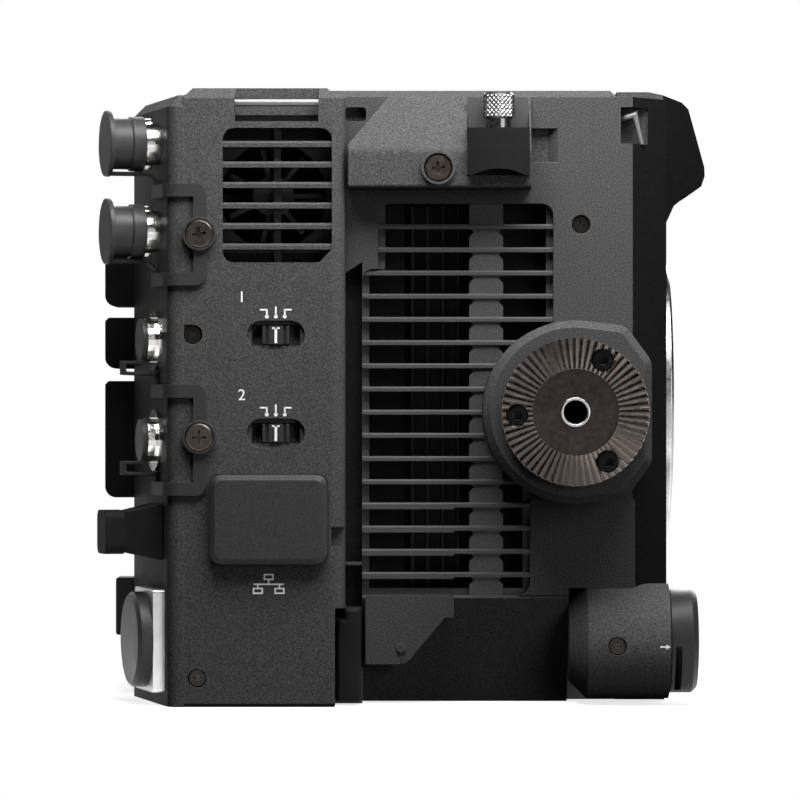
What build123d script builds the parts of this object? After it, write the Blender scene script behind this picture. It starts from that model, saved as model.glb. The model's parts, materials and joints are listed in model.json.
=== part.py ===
from build123d import *
import os
from math import cos, pi, radians, sin

os.makedirs("parts", exist_ok=True)

# Case, in millimetres. +X is the lens side, -Y the grip side, and the base rests on Z = 0
lens_height = 67.0
case_height = 133.25
top_rise = 1.75
rear_face = 60.0
front_face = 59.0
right_face = 62.0
left_face = 62.0
panel_thickness = 4.0
base_thickness = 3.0
base_height = 10.0
base_pad = 2.0
pad_bottom = base_height - base_pad
top_thickness = 6.0
rear_thickness = 13.0
front_thickness = 11.0
front_setback = 8.0
edge_break = 0.8
fit_gap = 0.15
press_gap = 0.05
slide_gap = 0.3
layout_height = 133.25


def level(height):
    """Height of a detail on a case of the layout height, moved in step with the case."""
    return height * case_height / layout_height


# Planes of the case
rear_plane = rear_thickness - rear_face
front_plane = front_face - front_thickness
side_y = -right_face
core_right = side_y + panel_thickness
step_y = side_y + front_setback
core_step = step_y + panel_thickness
core_left = left_face - panel_thickness
top_z = case_height + top_rise
core_top = top_z - top_thickness

# Flats of the small turned pieces and of one round corner
corner_flats = 4
turned_sides = 24
small_sides = 16
pin_sides = 6

# Rear right panel with the exhaust vent
panel_front = -12.0
return_wall = 2.2
panel_round = 3.0
wall_x = panel_front - return_wall
strap_depth = 5.0
strap_floor = case_height - 5.85
strap_left, strap_right = rear_plane + 11.0, panel_front - 5.7
vent_left, vent_right = rear_plane + 8.4, panel_front - 2.8
vent_top = strap_floor - 1.4
vent_bottom = vent_top - 29.3
vent_corner = 2.4
vent_chamfer = 4.0
vent_fins = 6
vent_fin_pitch = 4.46
vent_fin_thickness = 1.3
vent_fin_bevel = 0.45
vent_fin_depth = 2.6
vent_rib_width = 1.5

# Strap bars
strap_bar_rise = 4.2
strap_bar_diameter = 1.6
strap_bar_setback = 2.0
lug_rod_diameter = 1.5

# Input switches
switch_x = panel_front - 15.0
switch_heights = (level(80.9), level(59.6))
switch_recess_length, switch_recess_height = 12.7, 6.4
switch_slot_length, switch_slot_height = 10.6, 4.6
switch_slot_depth = 3.0
switch_bevel = 0.9
switch_knob_width = 5.8
switch_groove = 0.8

# Network terminal and its cover
network_left, network_right = rear_plane + 5.6, panel_front - 3.7
network_bottom = level(31.1)
network_top = network_bottom + 19.5
network_cover_rise = 3.0
network_seat = 1.0
network_corner = 2.5
network_bevel = 1.2
jack_width, jack_height = 16.0, 13.6
jack_mouth_width, jack_mouth_height, jack_mouth_depth = 11.8, 8.2, 11.0

# Terminals on the slanted rear right corner
slant = 15.0
slant_width = 37.5
corner_round = 3.0
terminal_offset = 7.0
terminal_depth = 4.8
coax_heights = (level(123.0), level(103.8))
coax_barrel_diameter = 9.6
coax_barrel_length = 9.0
coax_wall = 0.8
coax_floor = 1.5
coax_pin_radius = 1.6
coax_lug = 1.6
coax_stem_radius = 4.0
coax_sleeve_start = 3.4
coax_sleeve_diameter = 11.2
coax_collar_diameter = 12.0
coax_collar_length = 3.0
coax_cap_front = 11.8
coax_cap_diameter = 14.5
coax_disc_thickness = 1.1
audio_heights = (level(80.0), level(58.0))
audio_flange_diameter = 13.6
audio_flange_thickness = 1.0
audio_barrel_diameter = 11.0
audio_barrel_length = 3.0
audio_socket_diameter = 8.6
audio_socket_depth = 3.0
audio_pin_radius = 0.5
audio_cap_diameter = 9.2
audio_cap_thickness = 1.0
audio_plug_length = 2.0
strap_thickness = 0.8
strap_width = 4.0
strap_loop_reach = 7.7
power_centre = 14.2
power_offset = 5.2
power_flange_width, power_flange_height = 19.5, 22.5
power_flange_thickness = 2.7
power_stem_radius = 6.0
power_socket_radius = 5.0
power_pin_radius = 0.6
power_pin_spacing = 3.0
power_cap_diameter = 21.0
power_cap_thickness = 3.3
sync_bottom = level(31.8)
sync_top = sync_bottom + 12.2
sync_width = 14.0
sync_body_length = 8.2
sync_length = 12.6
sync_nub_height, sync_nub_width, sync_nub_corner = 9.6, 9.6, 2.0
sync_barrel_radius, sync_barrel_length = 3.0, 5.0

# Tether brackets round the two cover screws
bracket_bar = 2.9
bracket_corner = 2.4
bracket_thickness = 1.0
bracket_end = 5.0
bracket_x = rear_plane + 3.4
spine_left, spine_right = rear_plane + 2.1, rear_plane + 5.0
bracket_screw_heights = (level(102.9), level(58.7))
bracket_spans = ((level(91.7), level(113.9)), (level(46.0), level(70.2)))
boss_radius = 3.7
boss_rise = 2.0
shelf_boss_rise = 1.0
big_head_radius = 3.0
big_head_height = 1.2
small_head_radius = 1.9
small_head_height = 1.2
small_recess_depth = 2.2

# Covers and sockets on the flat rear face
cover_inner, cover_outer = -13.0, -25.0
cover_thickness = 6.6
cover_round = 2.5
usb_span = (level(87.9), level(103.1))
mic_span = (level(73.9), level(85.4))
hdmi_span = (level(44.8), level(71.1))
cover_spans = (("usb_cover", *usb_span), ("mic_cover", *mic_span), ("hdmi_cover", *hdmi_span))
rear_jack_depth = 9.0
rear_jack_wall = 1.2
usb_jack_width, mic_jack_width, hdmi_jack_width = 5.0, 7.5, 6.6
rear_jack_places = (
    (usb_span[0] + 3.1, usb_span[1] - 3.1, usb_jack_width),
    (mic_span[0] + 2.1, mic_span[1] - 1.9, mic_jack_width),
    (hdmi_span[0] + 5.7, hdmi_span[1] - 5.6, hdmi_jack_width),
)
release_bottom, release_top = 13.6, 26.6
release_rise = 4.4
release_grips = 4

# Battery bay
bay_left, bay_right = 33.0, -10.0
bay_bottom, bay_top = 20.0, level(91.0)
bay_depth = 44.8
rear_top_chamfer = 2.6

# Shelf over the intake with the screw clamp
shelf_bottom = case_height - 20.35
shelf_right = 28.6
shelf_crease = shelf_bottom + 8.3
shelf_crease_round = 3.0
shelf_left_low, shelf_left_high = -11.2, -2.5
shelf_slot_width, shelf_slot_height, shelf_slot_depth = 4.6, 3.1, 2.5
shelf_slot_top = case_height - 2.25
clamp_left, clamp_right = 14.6, 28.2
clamp_bottom = shelf_bottom + 2.7
clamp_step = clamp_bottom + 6.4
clamp_top = clamp_step + 4.0
clamp_rise = 3.2
clamp_bulge = 1.2
shelf_recess, clamp_seat = 6.0, 4.0
clamp_arch_radius, clamp_arch = 12.2, 1.4
side_recess_bottom, side_recess_height = shelf_bottom + 6.0, 7.4
side_recess_right, side_recess_depth = shelf_right + 6.0, 2.0
thumb_x = 21.5
thumb_y = side_y + 1.8
thumb_diameter = 7.0
thumb_bottom = clamp_top + 2.0
thumb_top = thumb_bottom + 5.7
thumb_neck_diameter = 5.5
thumb_shaft_radius = 1.5
thumb_shaft_depth = 8.4
thumb_clearance = 0.05
thumb_bevel = 0.5

# Air intake
grille_left, grille_notch = -8.3, -4.8
grille_right, grille_low_right = 33.6, 28.5
grille_bottom = 24.0
grille_top = shelf_bottom - 3.1
grille_notch_height = grille_top - 14.3
grille_step_height = level(64.0)
grille_corner = 2.5
grille_bevel = 0.6
grille_frame, grille_frame_depth = 1.5, 2.0
intake_fin_pitch = 5.09
intake_fin_first = grille_bottom + 4.5
intake_fin_thickness = 1.05
intake_lip_thickness, intake_lip_depth = 1.45, 1.0
intake_lips = 4
intake_fin_depth = 3.0
intake_fin_bevel = 0.35
intake_fins = 1 + int((grille_top - intake_fin_first - intake_fin_thickness) / intake_fin_pitch)
intake_setback = 0.3
intake_strip_left, intake_strip_right = 15.2, 22.6
intake_strip_setback = 0.5
intake_strip_thickness = 2.0
intake_strip_notch = 1.4
duct_left, duct_right = 1.0, 14.6
duct_depth = 14.0
plenum_depth = 4.0

# Lower side and the channel beside the intake
low_top = grille_bottom
low_slope = 12.0
low_y = step_y + 18.0
low_plate_left, low_plate_right, low_plate_bottom = -7.6, 11.8, 8.8
low_plate_side, low_plate_step, low_plate_foot = 5.0, 2.0, 1.2
low_boss = (low_plate_left + 7.8, low_plate_bottom + 3.6)
low_boss_radius, low_boss_rise = 1.05, 0.4
channel_arch = shelf_bottom - 15.9
channel_arch_drop = 2.4
ledge_height, ledge_thickness = 31.2, 0.6
channel_recess_bottom, channel_recess_top = 34.9, 39.2
grip_top = 21.5
grip_notch_width, grip_notch_height = 1.8, 2.4
grip_cover_rise = 8.0

# Rosette on its base
rosette_x, rosette_z = 37.7, level(64.2)
rosette_diameter = 31.8
rosette_inner = 18.7
rosette_teeth = 60
rosette_face = 75.0
rosette_thickness = 3.6
rosette_tooth_height = 0.85
rosette_groove_share = 0.9
rosette_hub_setback = 0.5
rosette_thread_radius = 2.55
rosette_thread_depth = 10.0
rosette_screw_circle = 12.6
rosette_screw_head = 2.3
rosette_screw_depth = 2.6
rosette_screw_angles = (183.0, 63.0, -57.0)
rosette_socket_depth = 1.4
base_radius, base_flat, base_shoulder = 19.8, 16.6, 11.0
base_tilt, base_flat_height, base_corner = 7.0, 11.0, 4.0
base_bevel = 1.6
base_flats = 26

# Front
parting_top, parting_mid, parting_low = 42.5, 45.6, 51.5
parting_low_height, parting_mid_height, parting_top_height = 45.0, level(83.0), level(116.0)
front_chamfer_x, front_chamfer_y = 8.0, 10.0
brow_half_width = 24.0
brow_root_width = 44.0
brow_reach = 68.9
brow_height = 29.0
lug_left, lug_right = 48.4, 54.6
lug_bottom, lug_top = case_height - 10.25, case_height - 2.25
lug_depth = 5.0
throat_radius = 27.0
mount_radius = 32.0
mount_flange = 2.5
mount_sleeve = 2.5
mount_sleeve_length = 8.0
mount_tab = 1.6
mount_tab_half_angle = 28.0
mount_bevel = 0.5
mount_sides = 48
mount_x = front_face + mount_flange
contact_rise = 4.5
contact_half_angle = 35.0
contact_count = 12
contact_step = 5.2
contact_radius = 0.8
sensor_setback = 20.0
sensor_width, sensor_height = 36.0, 24.0
sensor_margin = 5.0
sensor_board = 6.0
sensor_glass = 1.2
sensor_x = mount_x - sensor_setback
sensor_seat = sensor_width + 2 * sensor_margin
sensor_bottom = lens_height - sensor_height / 2 - sensor_board
release_button_y, release_button_z = 40.0, lens_height - 7.0
release_button_radius = 4.5
release_button_travel = 2.0
release_button_depth = 3.0
lock_pin_radius = 1.3
lock_pin_length = 8.0
lock_pin_rise = 1.3

# Record knob housing at the lower front corner
knob_y, knob_z = -49.4, 13.75
knob_housing_radius = 12.65
knob_housing_left = 37.0
knob_housing_bevel = 4.0
knob_sides = 40
knob_ring_radius = 11.4
knob_ring_length = 6.0
knob_ring_bevel = 1.2
knob_gap = 0.2
knob_hub_radius = 7.2
knob_hub_length = 5.0
record_button_radius = 6.0
record_travel = 1.2

# Filter carriage parked under the roof, and the fan
board_depth = 12.0
carrier_width = sensor_seat - 2 * slide_gap
carrier_height, carrier_thickness = 34.0, 2.6
carrier_rim_width, carrier_rim_height = 4.5, 3.0
carrier_headroom = 1.0
carrier_travel = core_top - carrier_headroom - carrier_height / 2 - lens_height
fan_margin = 0.6
fan_size = vent_right - vent_left + 2 * fan_margin
fan_thickness = 10.0
jack_depth = board_depth + panel_thickness - network_seat
fan_x = (vent_left + vent_right) / 2 - 1.0
fan_z = (vent_bottom + vent_top) / 2
fan_wall = 0.8
fan_spoke = 1.6
fan_spoke_depth = 1.2
fan_blades = 7
fan_blade_length, fan_blade_thickness, fan_blade_depth = 6.2, 1.0, 6.0
fan_hub_radius = 4.5
fan_inset = 1.0
fan_running_gap = 0.3
sink_fins = 4
sink_fin_thickness = 0.8
sink_base = 2.0
sink_gap = 3.0

# Left side controls
door_left, door_right = -42.0, -8.0
door_bottom, door_top = 14.0, level(62.0)
door_thickness = 3.0
card_slot_width, card_slot_height = 2.6, 25.0
door_grip_length, door_grip_width, door_grip_inset = 16.0, 5.0, 5.0
dial_x, dial_z, dial_diameter, dial_rise = 22.0, level(96.0), 18.0, 5.0
dial_sides = 28
dial_seat = 1.0
power_x, power_z = -28.0, level(112.0)
power_knob_length, power_knob_height, power_knob_rise = 7.0, 5.0, 1.6
power_travel = 3.0
power_seat = 2.0
button_x, button_diameter, button_rise = 22.0, 7.0, 1.0
button_heights = (level(52.0), level(66.0))
button_travel = 0.7
button_depth = 3.0
seat_gap = 0.1

# Threads in the base and top
tripod_radius = 3.175
large_thread_radius = 4.76
thread_depth = 9.0
large_thread_x = 18.0
top_thread_places = ((-30.0, 0.0), (-6.0, 0.0), (18.0, 0.0), (-6.0, 30.0), (-6.0, -30.0))

# Places of the small screws
rear_low_screw = (rear_plane + 2.9, 6.3)
rear_high_screw = (rear_plane + 1.9, level(81.0))
front_screw = (39.7, level(105.3))
housing_screw = (47.3, 13.2)
shelf_screw = (8.3, shelf_bottom + 4.4)

slant_x = -rear_face + slant_width * sin(radians(slant))
slant_y = side_y + slant_width * cos(radians(slant))
sync_height = (sync_bottom + sync_top) / 2
cover_middle = (cover_inner + cover_outer) / 2


def side(y):
    """Plane facing the grip side: sketch x is X, sketch y is Z, extrusion goes to -Y."""
    return Plane(origin=(0, y, 0), x_dir=(1, 0, 0), z_dir=(0, -1, 0))


def facing_front(x):
    """Plane facing the lens side: sketch x is Y, sketch y is Z."""
    return Plane(origin=(x, 0, 0), x_dir=(0, 1, 0), z_dir=(1, 0, 0))


def facing_rear(x):
    """Plane facing the rear: sketch x is -Y, sketch y is Z."""
    return Plane(origin=(x, 0, 0), x_dir=(0, -1, 0), z_dir=(-1, 0, 0))


def terminal(out=0.0):
    """Plane on the slanted corner: sketch x runs towards the grip side, sketch y is Z."""
    along = Vector(sin(radians(slant)), -cos(radians(slant)), 0)
    outward = Vector(-cos(radians(slant)), -sin(radians(slant)), 0)
    middle = Vector((slant_x - rear_face) / 2, (side_y + slant_y) / 2, 0)
    return Plane(origin=middle + outward * out, x_dir=along, z_dir=outward)


def window(left, right, bottom, top, corner=0.0, mode=Mode.ADD):
    """Rectangle between two places and two heights of the current sketch, its round corners in flats."""
    if corner == 0:
        with Locations(((left + right) / 2, (bottom + top) / 2)):
            return Rectangle(right - left, top - bottom, mode=mode)
    middles = (
        (right - corner, top - corner),
        (left + corner, top - corner),
        (left + corner, bottom + corner),
        (right - corner, bottom + corner),
    )
    turns = [pi / 2 * step / corner_flats for step in range(corner_flats + 1)]
    points = [
        (x + corner * cos(quarter * pi / 2 + turn), y + corner * sin(quarter * pi / 2 + turn))
        for quarter, (x, y) in enumerate(middles)
        for turn in turns
    ]
    return Polygon(*points, align=None, mode=mode)


def turned(radius, sides=turned_sides, mode=Mode.ADD):
    """Section of a turned piece, drawn with flats."""
    return RegularPolygon(radius, sides, mode=mode)


def case_outline():
    """Plan of the case inside its side panels, stepped behind the rear right panel."""
    return Polygon(
        (rear_plane, core_right),
        (wall_x, core_right),
        (wall_x, core_step),
        (front_plane, core_step),
        (front_plane, core_left),
        (rear_plane, core_left),
        align=None,
    )


def grille_outline(y):
    """Outline of the air intake, square beside the channel and stepped behind the rosette base."""
    with BuildSketch(side(y)) as outline:
        window(grille_left, grille_low_right, grille_bottom, grille_notch_height, grille_corner)
        window(grille_left, grille_left + grille_corner, grille_bottom, grille_step_height)
        window(grille_notch, grille_right, grille_step_height, grille_top, grille_corner)
    return outline.sketch


def louvre(front, height, depth, thickness, bevel):
    """Section of one louvre in the YZ plane, bevelled along its upper front edge."""
    low, high = height - thickness / 2, height + thickness / 2
    return Polygon(
        (front, low),
        (front, high - bevel),
        (front + bevel, high),
        (front + depth, high),
        (front + depth, low),
        align=None,
    )


def lens_sector(middle_angle, half_angle):
    """Wedge from the lens axis that the current sketch is cut down to."""
    reach = 2 * mount_radius
    turns = [radians(middle_angle + flank * half_angle) for flank in (-1, 1)]
    return Polygon(
        (0, lens_height),
        *[(reach * cos(turn), lens_height + reach * sin(turn)) for turn in turns],
        align=None,
        mode=Mode.INTERSECT,
    )


def base_round_points():
    """Corners of the round rear half of the rosette base, drawn with flats."""
    half = 90 + base_tilt
    turns = [radians(180 - half + 2 * half * step / base_flats) for step in range(base_flats + 1)]
    return [
        (rosette_x + base_radius * cos(turn), rosette_z + base_radius * sin(turn)) for turn in turns
    ]


def base_shoulder_points(flank):
    """Corners of the rosette base towards the lens, above (flank 1) or below (flank -1) its centre."""
    tilt = radians(base_tilt)
    shoulder = (base_radius - base_shoulder * sin(tilt)) / cos(tilt)
    return (
        (rosette_x + base_shoulder, rosette_z + flank * shoulder),
        (rosette_x + base_flat, rosette_z + flank * base_flat_height),
    )


def strap_plane(height):
    """Plane through a terminal: sketch x runs outwards from the face, sketch y is up from its centre."""
    origin = terminal().from_local_coords((terminal_offset + strap_width / 2, height, 0))
    return Plane(origin=origin, x_dir=terminal().z_dir, z_dir=-terminal().x_dir)


def save(piece, name):
    piece.part.label = name
    export_step(piece.part, f"parts/{name}.step")


# Chassis
with BuildPart() as chassis:
    with BuildSketch(Plane.XY.offset(base_height)):
        case_outline()
    extrude(amount=core_top - base_height)
    with BuildSketch(side(core_step)):
        window(grille_left, front_plane, base_height, low_top)
        window(knob_housing_left, front_plane, base_height, knob_z + knob_housing_radius)
    extrude(amount=core_step - low_y, mode=Mode.SUBTRACT)
    with BuildSketch(facing_rear(rear_plane)):
        window(-bay_left, -bay_right, bay_bottom, bay_top)
    extrude(amount=-(bay_depth - rear_thickness), mode=Mode.SUBTRACT)
    with BuildSketch(side(core_step)):
        window(grille_left, grille_right, grille_bottom, grille_top)
    extrude(amount=-plenum_depth, mode=Mode.SUBTRACT)
    with BuildSketch(side(core_step)):
        window(duct_left, duct_right, grille_bottom, grille_top)
    extrude(amount=-duct_depth, mode=Mode.SUBTRACT)
    with BuildSketch(side(core_right)):
        for middle, height in ((fan_z, fan_size), ((network_bottom + network_top) / 2, jack_height)):
            with Locations((fan_x, middle)):
                Rectangle(fan_size, height)
    extrude(amount=-board_depth, mode=Mode.SUBTRACT)
    with BuildSketch(facing_front(front_plane)):
        window(-sensor_seat / 2, sensor_seat / 2, sensor_bottom, 2 * lens_height - sensor_bottom)
    extrude(amount=-(front_plane - sensor_x + sensor_board), mode=Mode.SUBTRACT)
    with BuildSketch(facing_front(front_plane)):
        carrier_top = lens_height + carrier_travel + carrier_height / 2 + slide_gap
        window(-sensor_seat / 2, sensor_seat / 2, sensor_bottom, carrier_top)
    extrude(amount=-(carrier_thickness + 2 * slide_gap), mode=Mode.SUBTRACT)
save(chassis, "chassis")

# Rear right side panel with the exhaust vent, switch slots and strap notch
with BuildPart() as right_rear_panel:
    with BuildSketch(side(core_right)):
        window(rear_plane, panel_front, 0, case_height)
    extrude(amount=panel_thickness)
    with BuildSketch(side(core_step)):
        window(wall_x, panel_front, 0, case_height)
    extrude(amount=core_step - core_right)
    outer = right_rear_panel.faces().sort_by(Axis.Y)[0]
    fillet(outer.edges().sort_by(Axis.X)[-1], panel_round)
    outer = right_rear_panel.faces().sort_by(Axis.Y)[0]
    chamfer(outer.edges().filter_by(Axis.X), edge_break)
    with BuildSketch(side(side_y)):
        window(vent_left, vent_right, vent_bottom, vent_top, vent_corner)
        with Locations((vent_right, vent_bottom)):
            Rectangle(vent_chamfer, vent_chamfer, rotation=45, mode=Mode.SUBTRACT)
    extrude(amount=-panel_thickness, mode=Mode.SUBTRACT)
    first_fin = vent_top - (vent_top - vent_bottom - (vent_fins - 1) * vent_fin_pitch) / 2
    fin_front = side_y + edge_break / 2
    with BuildSketch(Plane.YZ.offset(vent_left - edge_break / 2)):
        for step in range(vent_fins):
            height = first_fin - step * vent_fin_pitch
            louvre(fin_front, height, vent_fin_depth, vent_fin_thickness, vent_fin_bevel)
    extrude(amount=vent_right - vent_left + edge_break)
    with BuildSketch(side(fin_front + vent_fin_depth)):
        window(
            (vent_left + vent_right - vent_rib_width) / 2,
            (vent_left + vent_right + vent_rib_width) / 2,
            vent_bottom - edge_break / 2,
            vent_top + edge_break / 2,
        )
    extrude(amount=-(panel_thickness - vent_fin_depth - edge_break / 2))
    with BuildSketch(side(side_y)):
        window(strap_left, strap_right, strap_floor, case_height + edge_break)
    extrude(amount=-panel_thickness, mode=Mode.SUBTRACT)
    for height in switch_heights:
        with BuildSketch(side(side_y)):
            window(
                switch_x - switch_recess_length / 2,
                switch_x + switch_recess_length / 2,
                height - switch_recess_height / 2,
                height + switch_recess_height / 2,
                switch_recess_height / 2 - fit_gap,
            )
        extrude(amount=-switch_bevel, mode=Mode.SUBTRACT)
        with BuildSketch(side(side_y)):
            with Locations((switch_x, height)):
                Rectangle(switch_slot_length, switch_slot_height)
        extrude(amount=-switch_slot_depth, mode=Mode.SUBTRACT)
    with BuildSketch(side(side_y)):
        window(
            network_left - fit_gap,
            network_right + fit_gap,
            network_bottom - fit_gap,
            network_top + fit_gap,
            network_corner,
        )
    extrude(amount=-network_seat, mode=Mode.SUBTRACT)
    with BuildSketch(side(side_y)):
        with Locations(((network_left + network_right) / 2, (network_bottom + network_top) / 2)):
            Rectangle(jack_width, jack_height)
    extrude(amount=-panel_thickness, mode=Mode.SUBTRACT)
    with BuildSketch(side(side_y)):
        with Locations(rear_high_screw):
            turned(small_recess_depth, small_sides)
        window(
            rear_plane,
            rear_high_screw[0],
            rear_high_screw[1] - small_recess_depth,
            rear_high_screw[1] + small_recess_depth,
        )
    extrude(amount=-edge_break, mode=Mode.SUBTRACT)
    with BuildSketch(side(side_y)):
        for place in (rear_low_screw, rear_high_screw):
            with Locations(place):
                turned(small_head_radius + fit_gap, small_sides)
    extrude(amount=-small_recess_depth, mode=Mode.SUBTRACT)
    with BuildSketch(side(core_step)):
        window(wall_x, panel_front, 0, grip_top)
    extrude(amount=core_step - side_y, mode=Mode.SUBTRACT)
    with BuildSketch(side(side_y)):
        window(
            wall_x - edge_break, panel_front, channel_recess_bottom, channel_recess_top, edge_break / 2
        )
    extrude(amount=-side_recess_depth, mode=Mode.SUBTRACT)
    with BuildSketch(side(core_step)):
        window(panel_front, grille_left - fit_gap, ledge_height - ledge_thickness, ledge_height)
    extrude(amount=core_step - step_y)
save(right_rear_panel, "right_rear_panel")

# Rear right corner and rear face, with the battery bay
with BuildPart() as rear_panel:
    with BuildSketch(Plane.XY):
        Polygon(
            (rear_plane, side_y),
            (slant_x, side_y),
            (-rear_face, slant_y),
            (-rear_face, left_face),
            (rear_plane, left_face),
            align=None,
        )
    extrude(amount=case_height)
    corner_edges = rear_panel.edges().filter_by(Axis.Z).group_by(Axis.Y)
    fillet(corner_edges[0].sort_by(Axis.X)[0], corner_round)
    fillet(rear_panel.edges().filter_by(Axis.Z).group_by(Axis.Y)[-1].sort_by(Axis.X)[0], corner_round)
    rim = rear_panel.faces().sort_by(Axis.Z)[-1].edges()
    chamfer(rim.filter_by(lambda edge: edge.center().X < rear_plane - edge_break / 2), rear_top_chamfer)
    with BuildSketch(facing_rear(-rear_face)):
        window(-bay_left, -bay_right, bay_bottom, bay_top)
    extrude(amount=-rear_thickness, mode=Mode.SUBTRACT)
    with BuildSketch(terminal()):
        for height in coax_heights:
            with Locations((terminal_offset, height)):
                turned(coax_stem_radius, small_sides)
        for height in audio_heights:
            with Locations((terminal_offset, height)):
                turned(audio_barrel_diameter / 2)
        with Locations((terminal_offset, sync_height)):
            turned(sync_barrel_radius, small_sides)
        with Locations((power_offset, power_centre)):
            turned(power_stem_radius, small_sides)
    extrude(amount=-terminal_depth, mode=Mode.SUBTRACT)
    with BuildSketch(facing_rear(-rear_face)):
        for low, high, width in rear_jack_places:
            window(-cover_middle - width / 2, -cover_middle + width / 2, low, high)
    extrude(amount=-rear_jack_depth, mode=Mode.SUBTRACT)
save(rear_panel, "rear_panel")

# Front right side panel round the air intake
front_outline = (
    (panel_front, channel_arch - channel_arch_drop),
    (grille_left, channel_arch),
    (grille_left, low_top),
    (parting_low, low_top),
    (parting_low, parting_low_height),
    (parting_mid, parting_low_height),
    (parting_mid, parting_mid_height),
    (parting_top, parting_top_height),
    (parting_top, case_height),
    (shelf_right, case_height),
    (shelf_right, shelf_bottom),
    (panel_front, shelf_bottom),
)
with BuildPart() as right_front_panel:
    with BuildSketch(side(core_step)):
        Polygon(*front_outline, align=None)
    extrude(amount=panel_thickness)
    extrude(grille_outline(step_y), amount=-panel_thickness, mode=Mode.SUBTRACT)
    with BuildSketch(Plane.XY.offset(side_recess_bottom)):
        Polygon(
            (shelf_right, step_y),
            (shelf_right, step_y + side_recess_depth),
            (side_recess_right - side_recess_depth, step_y + side_recess_depth),
            (side_recess_right, step_y),
            align=None,
        )
    extrude(amount=side_recess_height, mode=Mode.SUBTRACT)
    with BuildSketch(side(step_y)):
        with Locations(front_screw):
            turned(small_head_radius + fit_gap, small_sides)
    extrude(amount=-small_recess_depth, mode=Mode.SUBTRACT)
    with BuildSketch(facing_front(knob_housing_left)):
        with Locations((knob_y, knob_z)):
            turned(knob_housing_radius, knob_sides)
    extrude(amount=front_face - knob_housing_left, mode=Mode.SUBTRACT)
save(right_front_panel, "right_front_panel")

# Louvred intake grille with its notched centre strip
with BuildPart() as intake_grille:
    with BuildSketch(side(core_step)):
        window(grille_left, grille_low_right, grille_bottom, grille_notch_height)
        window(grille_notch, grille_right, grille_step_height, grille_top)
        clear_low = (grille_left + grille_frame, grille_low_right - grille_frame)
        clear_high = (grille_notch + grille_frame, grille_right - grille_frame)
        window(*clear_low, grille_bottom + grille_frame, grille_notch_height, mode=Mode.SUBTRACT)
        window(*clear_high, grille_step_height, grille_top, mode=Mode.SUBTRACT)
    extrude(amount=grille_frame_depth)
    with BuildSketch(side(step_y + intake_setback + intake_strip_setback)):
        window(intake_strip_left, intake_strip_right, grille_bottom, grille_top)
        for step in range(intake_fins):
            height = intake_fin_first + step * intake_fin_pitch - intake_fin_thickness / 2
            for edge_x in (intake_strip_left, intake_strip_right):
                with Locations((edge_x, height - intake_strip_notch / 2)):
                    Rectangle(intake_strip_notch, intake_strip_notch, rotation=45, mode=Mode.SUBTRACT)
    extrude(amount=-intake_strip_thickness)
    for step in range(intake_fins):
        height = intake_fin_first + step * intake_fin_pitch
        left = grille_left if height < grille_notch_height else grille_notch
        right = grille_low_right if height < grille_step_height else grille_right
        with BuildSketch(Plane.YZ.offset(left)):
            louvre(
                step_y + intake_setback, height, intake_fin_depth, intake_fin_thickness, intake_fin_bevel
            )
        extrude(amount=right - left)
        if step < intake_lips:
            lip_height = height - (intake_lip_thickness - intake_fin_thickness) / 2
            with BuildSketch(Plane.YZ.offset(left)):
                louvre(
                    step_y + intake_setback,
                    lip_height,
                    intake_lip_depth,
                    intake_lip_thickness,
                    intake_fin_bevel,
                )
            extrude(amount=low_plate_right - left)
    extrude(grille_outline(step_y), amount=-panel_thickness, mode=Mode.INTERSECT)
save(intake_grille, "intake_grille")

# Sloping cover under the intake, with its raised plate
with BuildPart() as lower_side_cover:
    with BuildSketch(Plane.YZ.offset(grille_left)):
        Polygon(
            (step_y + grille_bevel, low_top),
            (step_y, low_top - grille_bevel),
            (step_y + low_slope, 0),
            (low_y, 0),
            (low_y, low_top),
            align=None,
        )
    extrude(amount=knob_housing_left - grille_left)
    with BuildSketch(side(step_y)) as plate:
        Polygon(
            (low_plate_left, low_top),
            (low_plate_right, low_top),
            (low_plate_right, low_top - low_plate_side),
            (low_plate_right - low_plate_step, low_top - low_plate_side),
            (low_plate_foot, low_plate_bottom),
            (low_plate_left, low_plate_bottom),
            align=None,
        )
        low_corner = plate.vertices().group_by(Axis.Y)[0].sort_by(Axis.X)[-1]
        fillet(low_corner, corner_round)
    extrude(amount=-low_slope)
    with BuildSketch(side(step_y)):
        with Locations(low_boss):
            turned(low_boss_radius, small_sides)
    extrude(amount=low_boss_rise)
save(lower_side_cover, "lower_side_cover")

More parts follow.
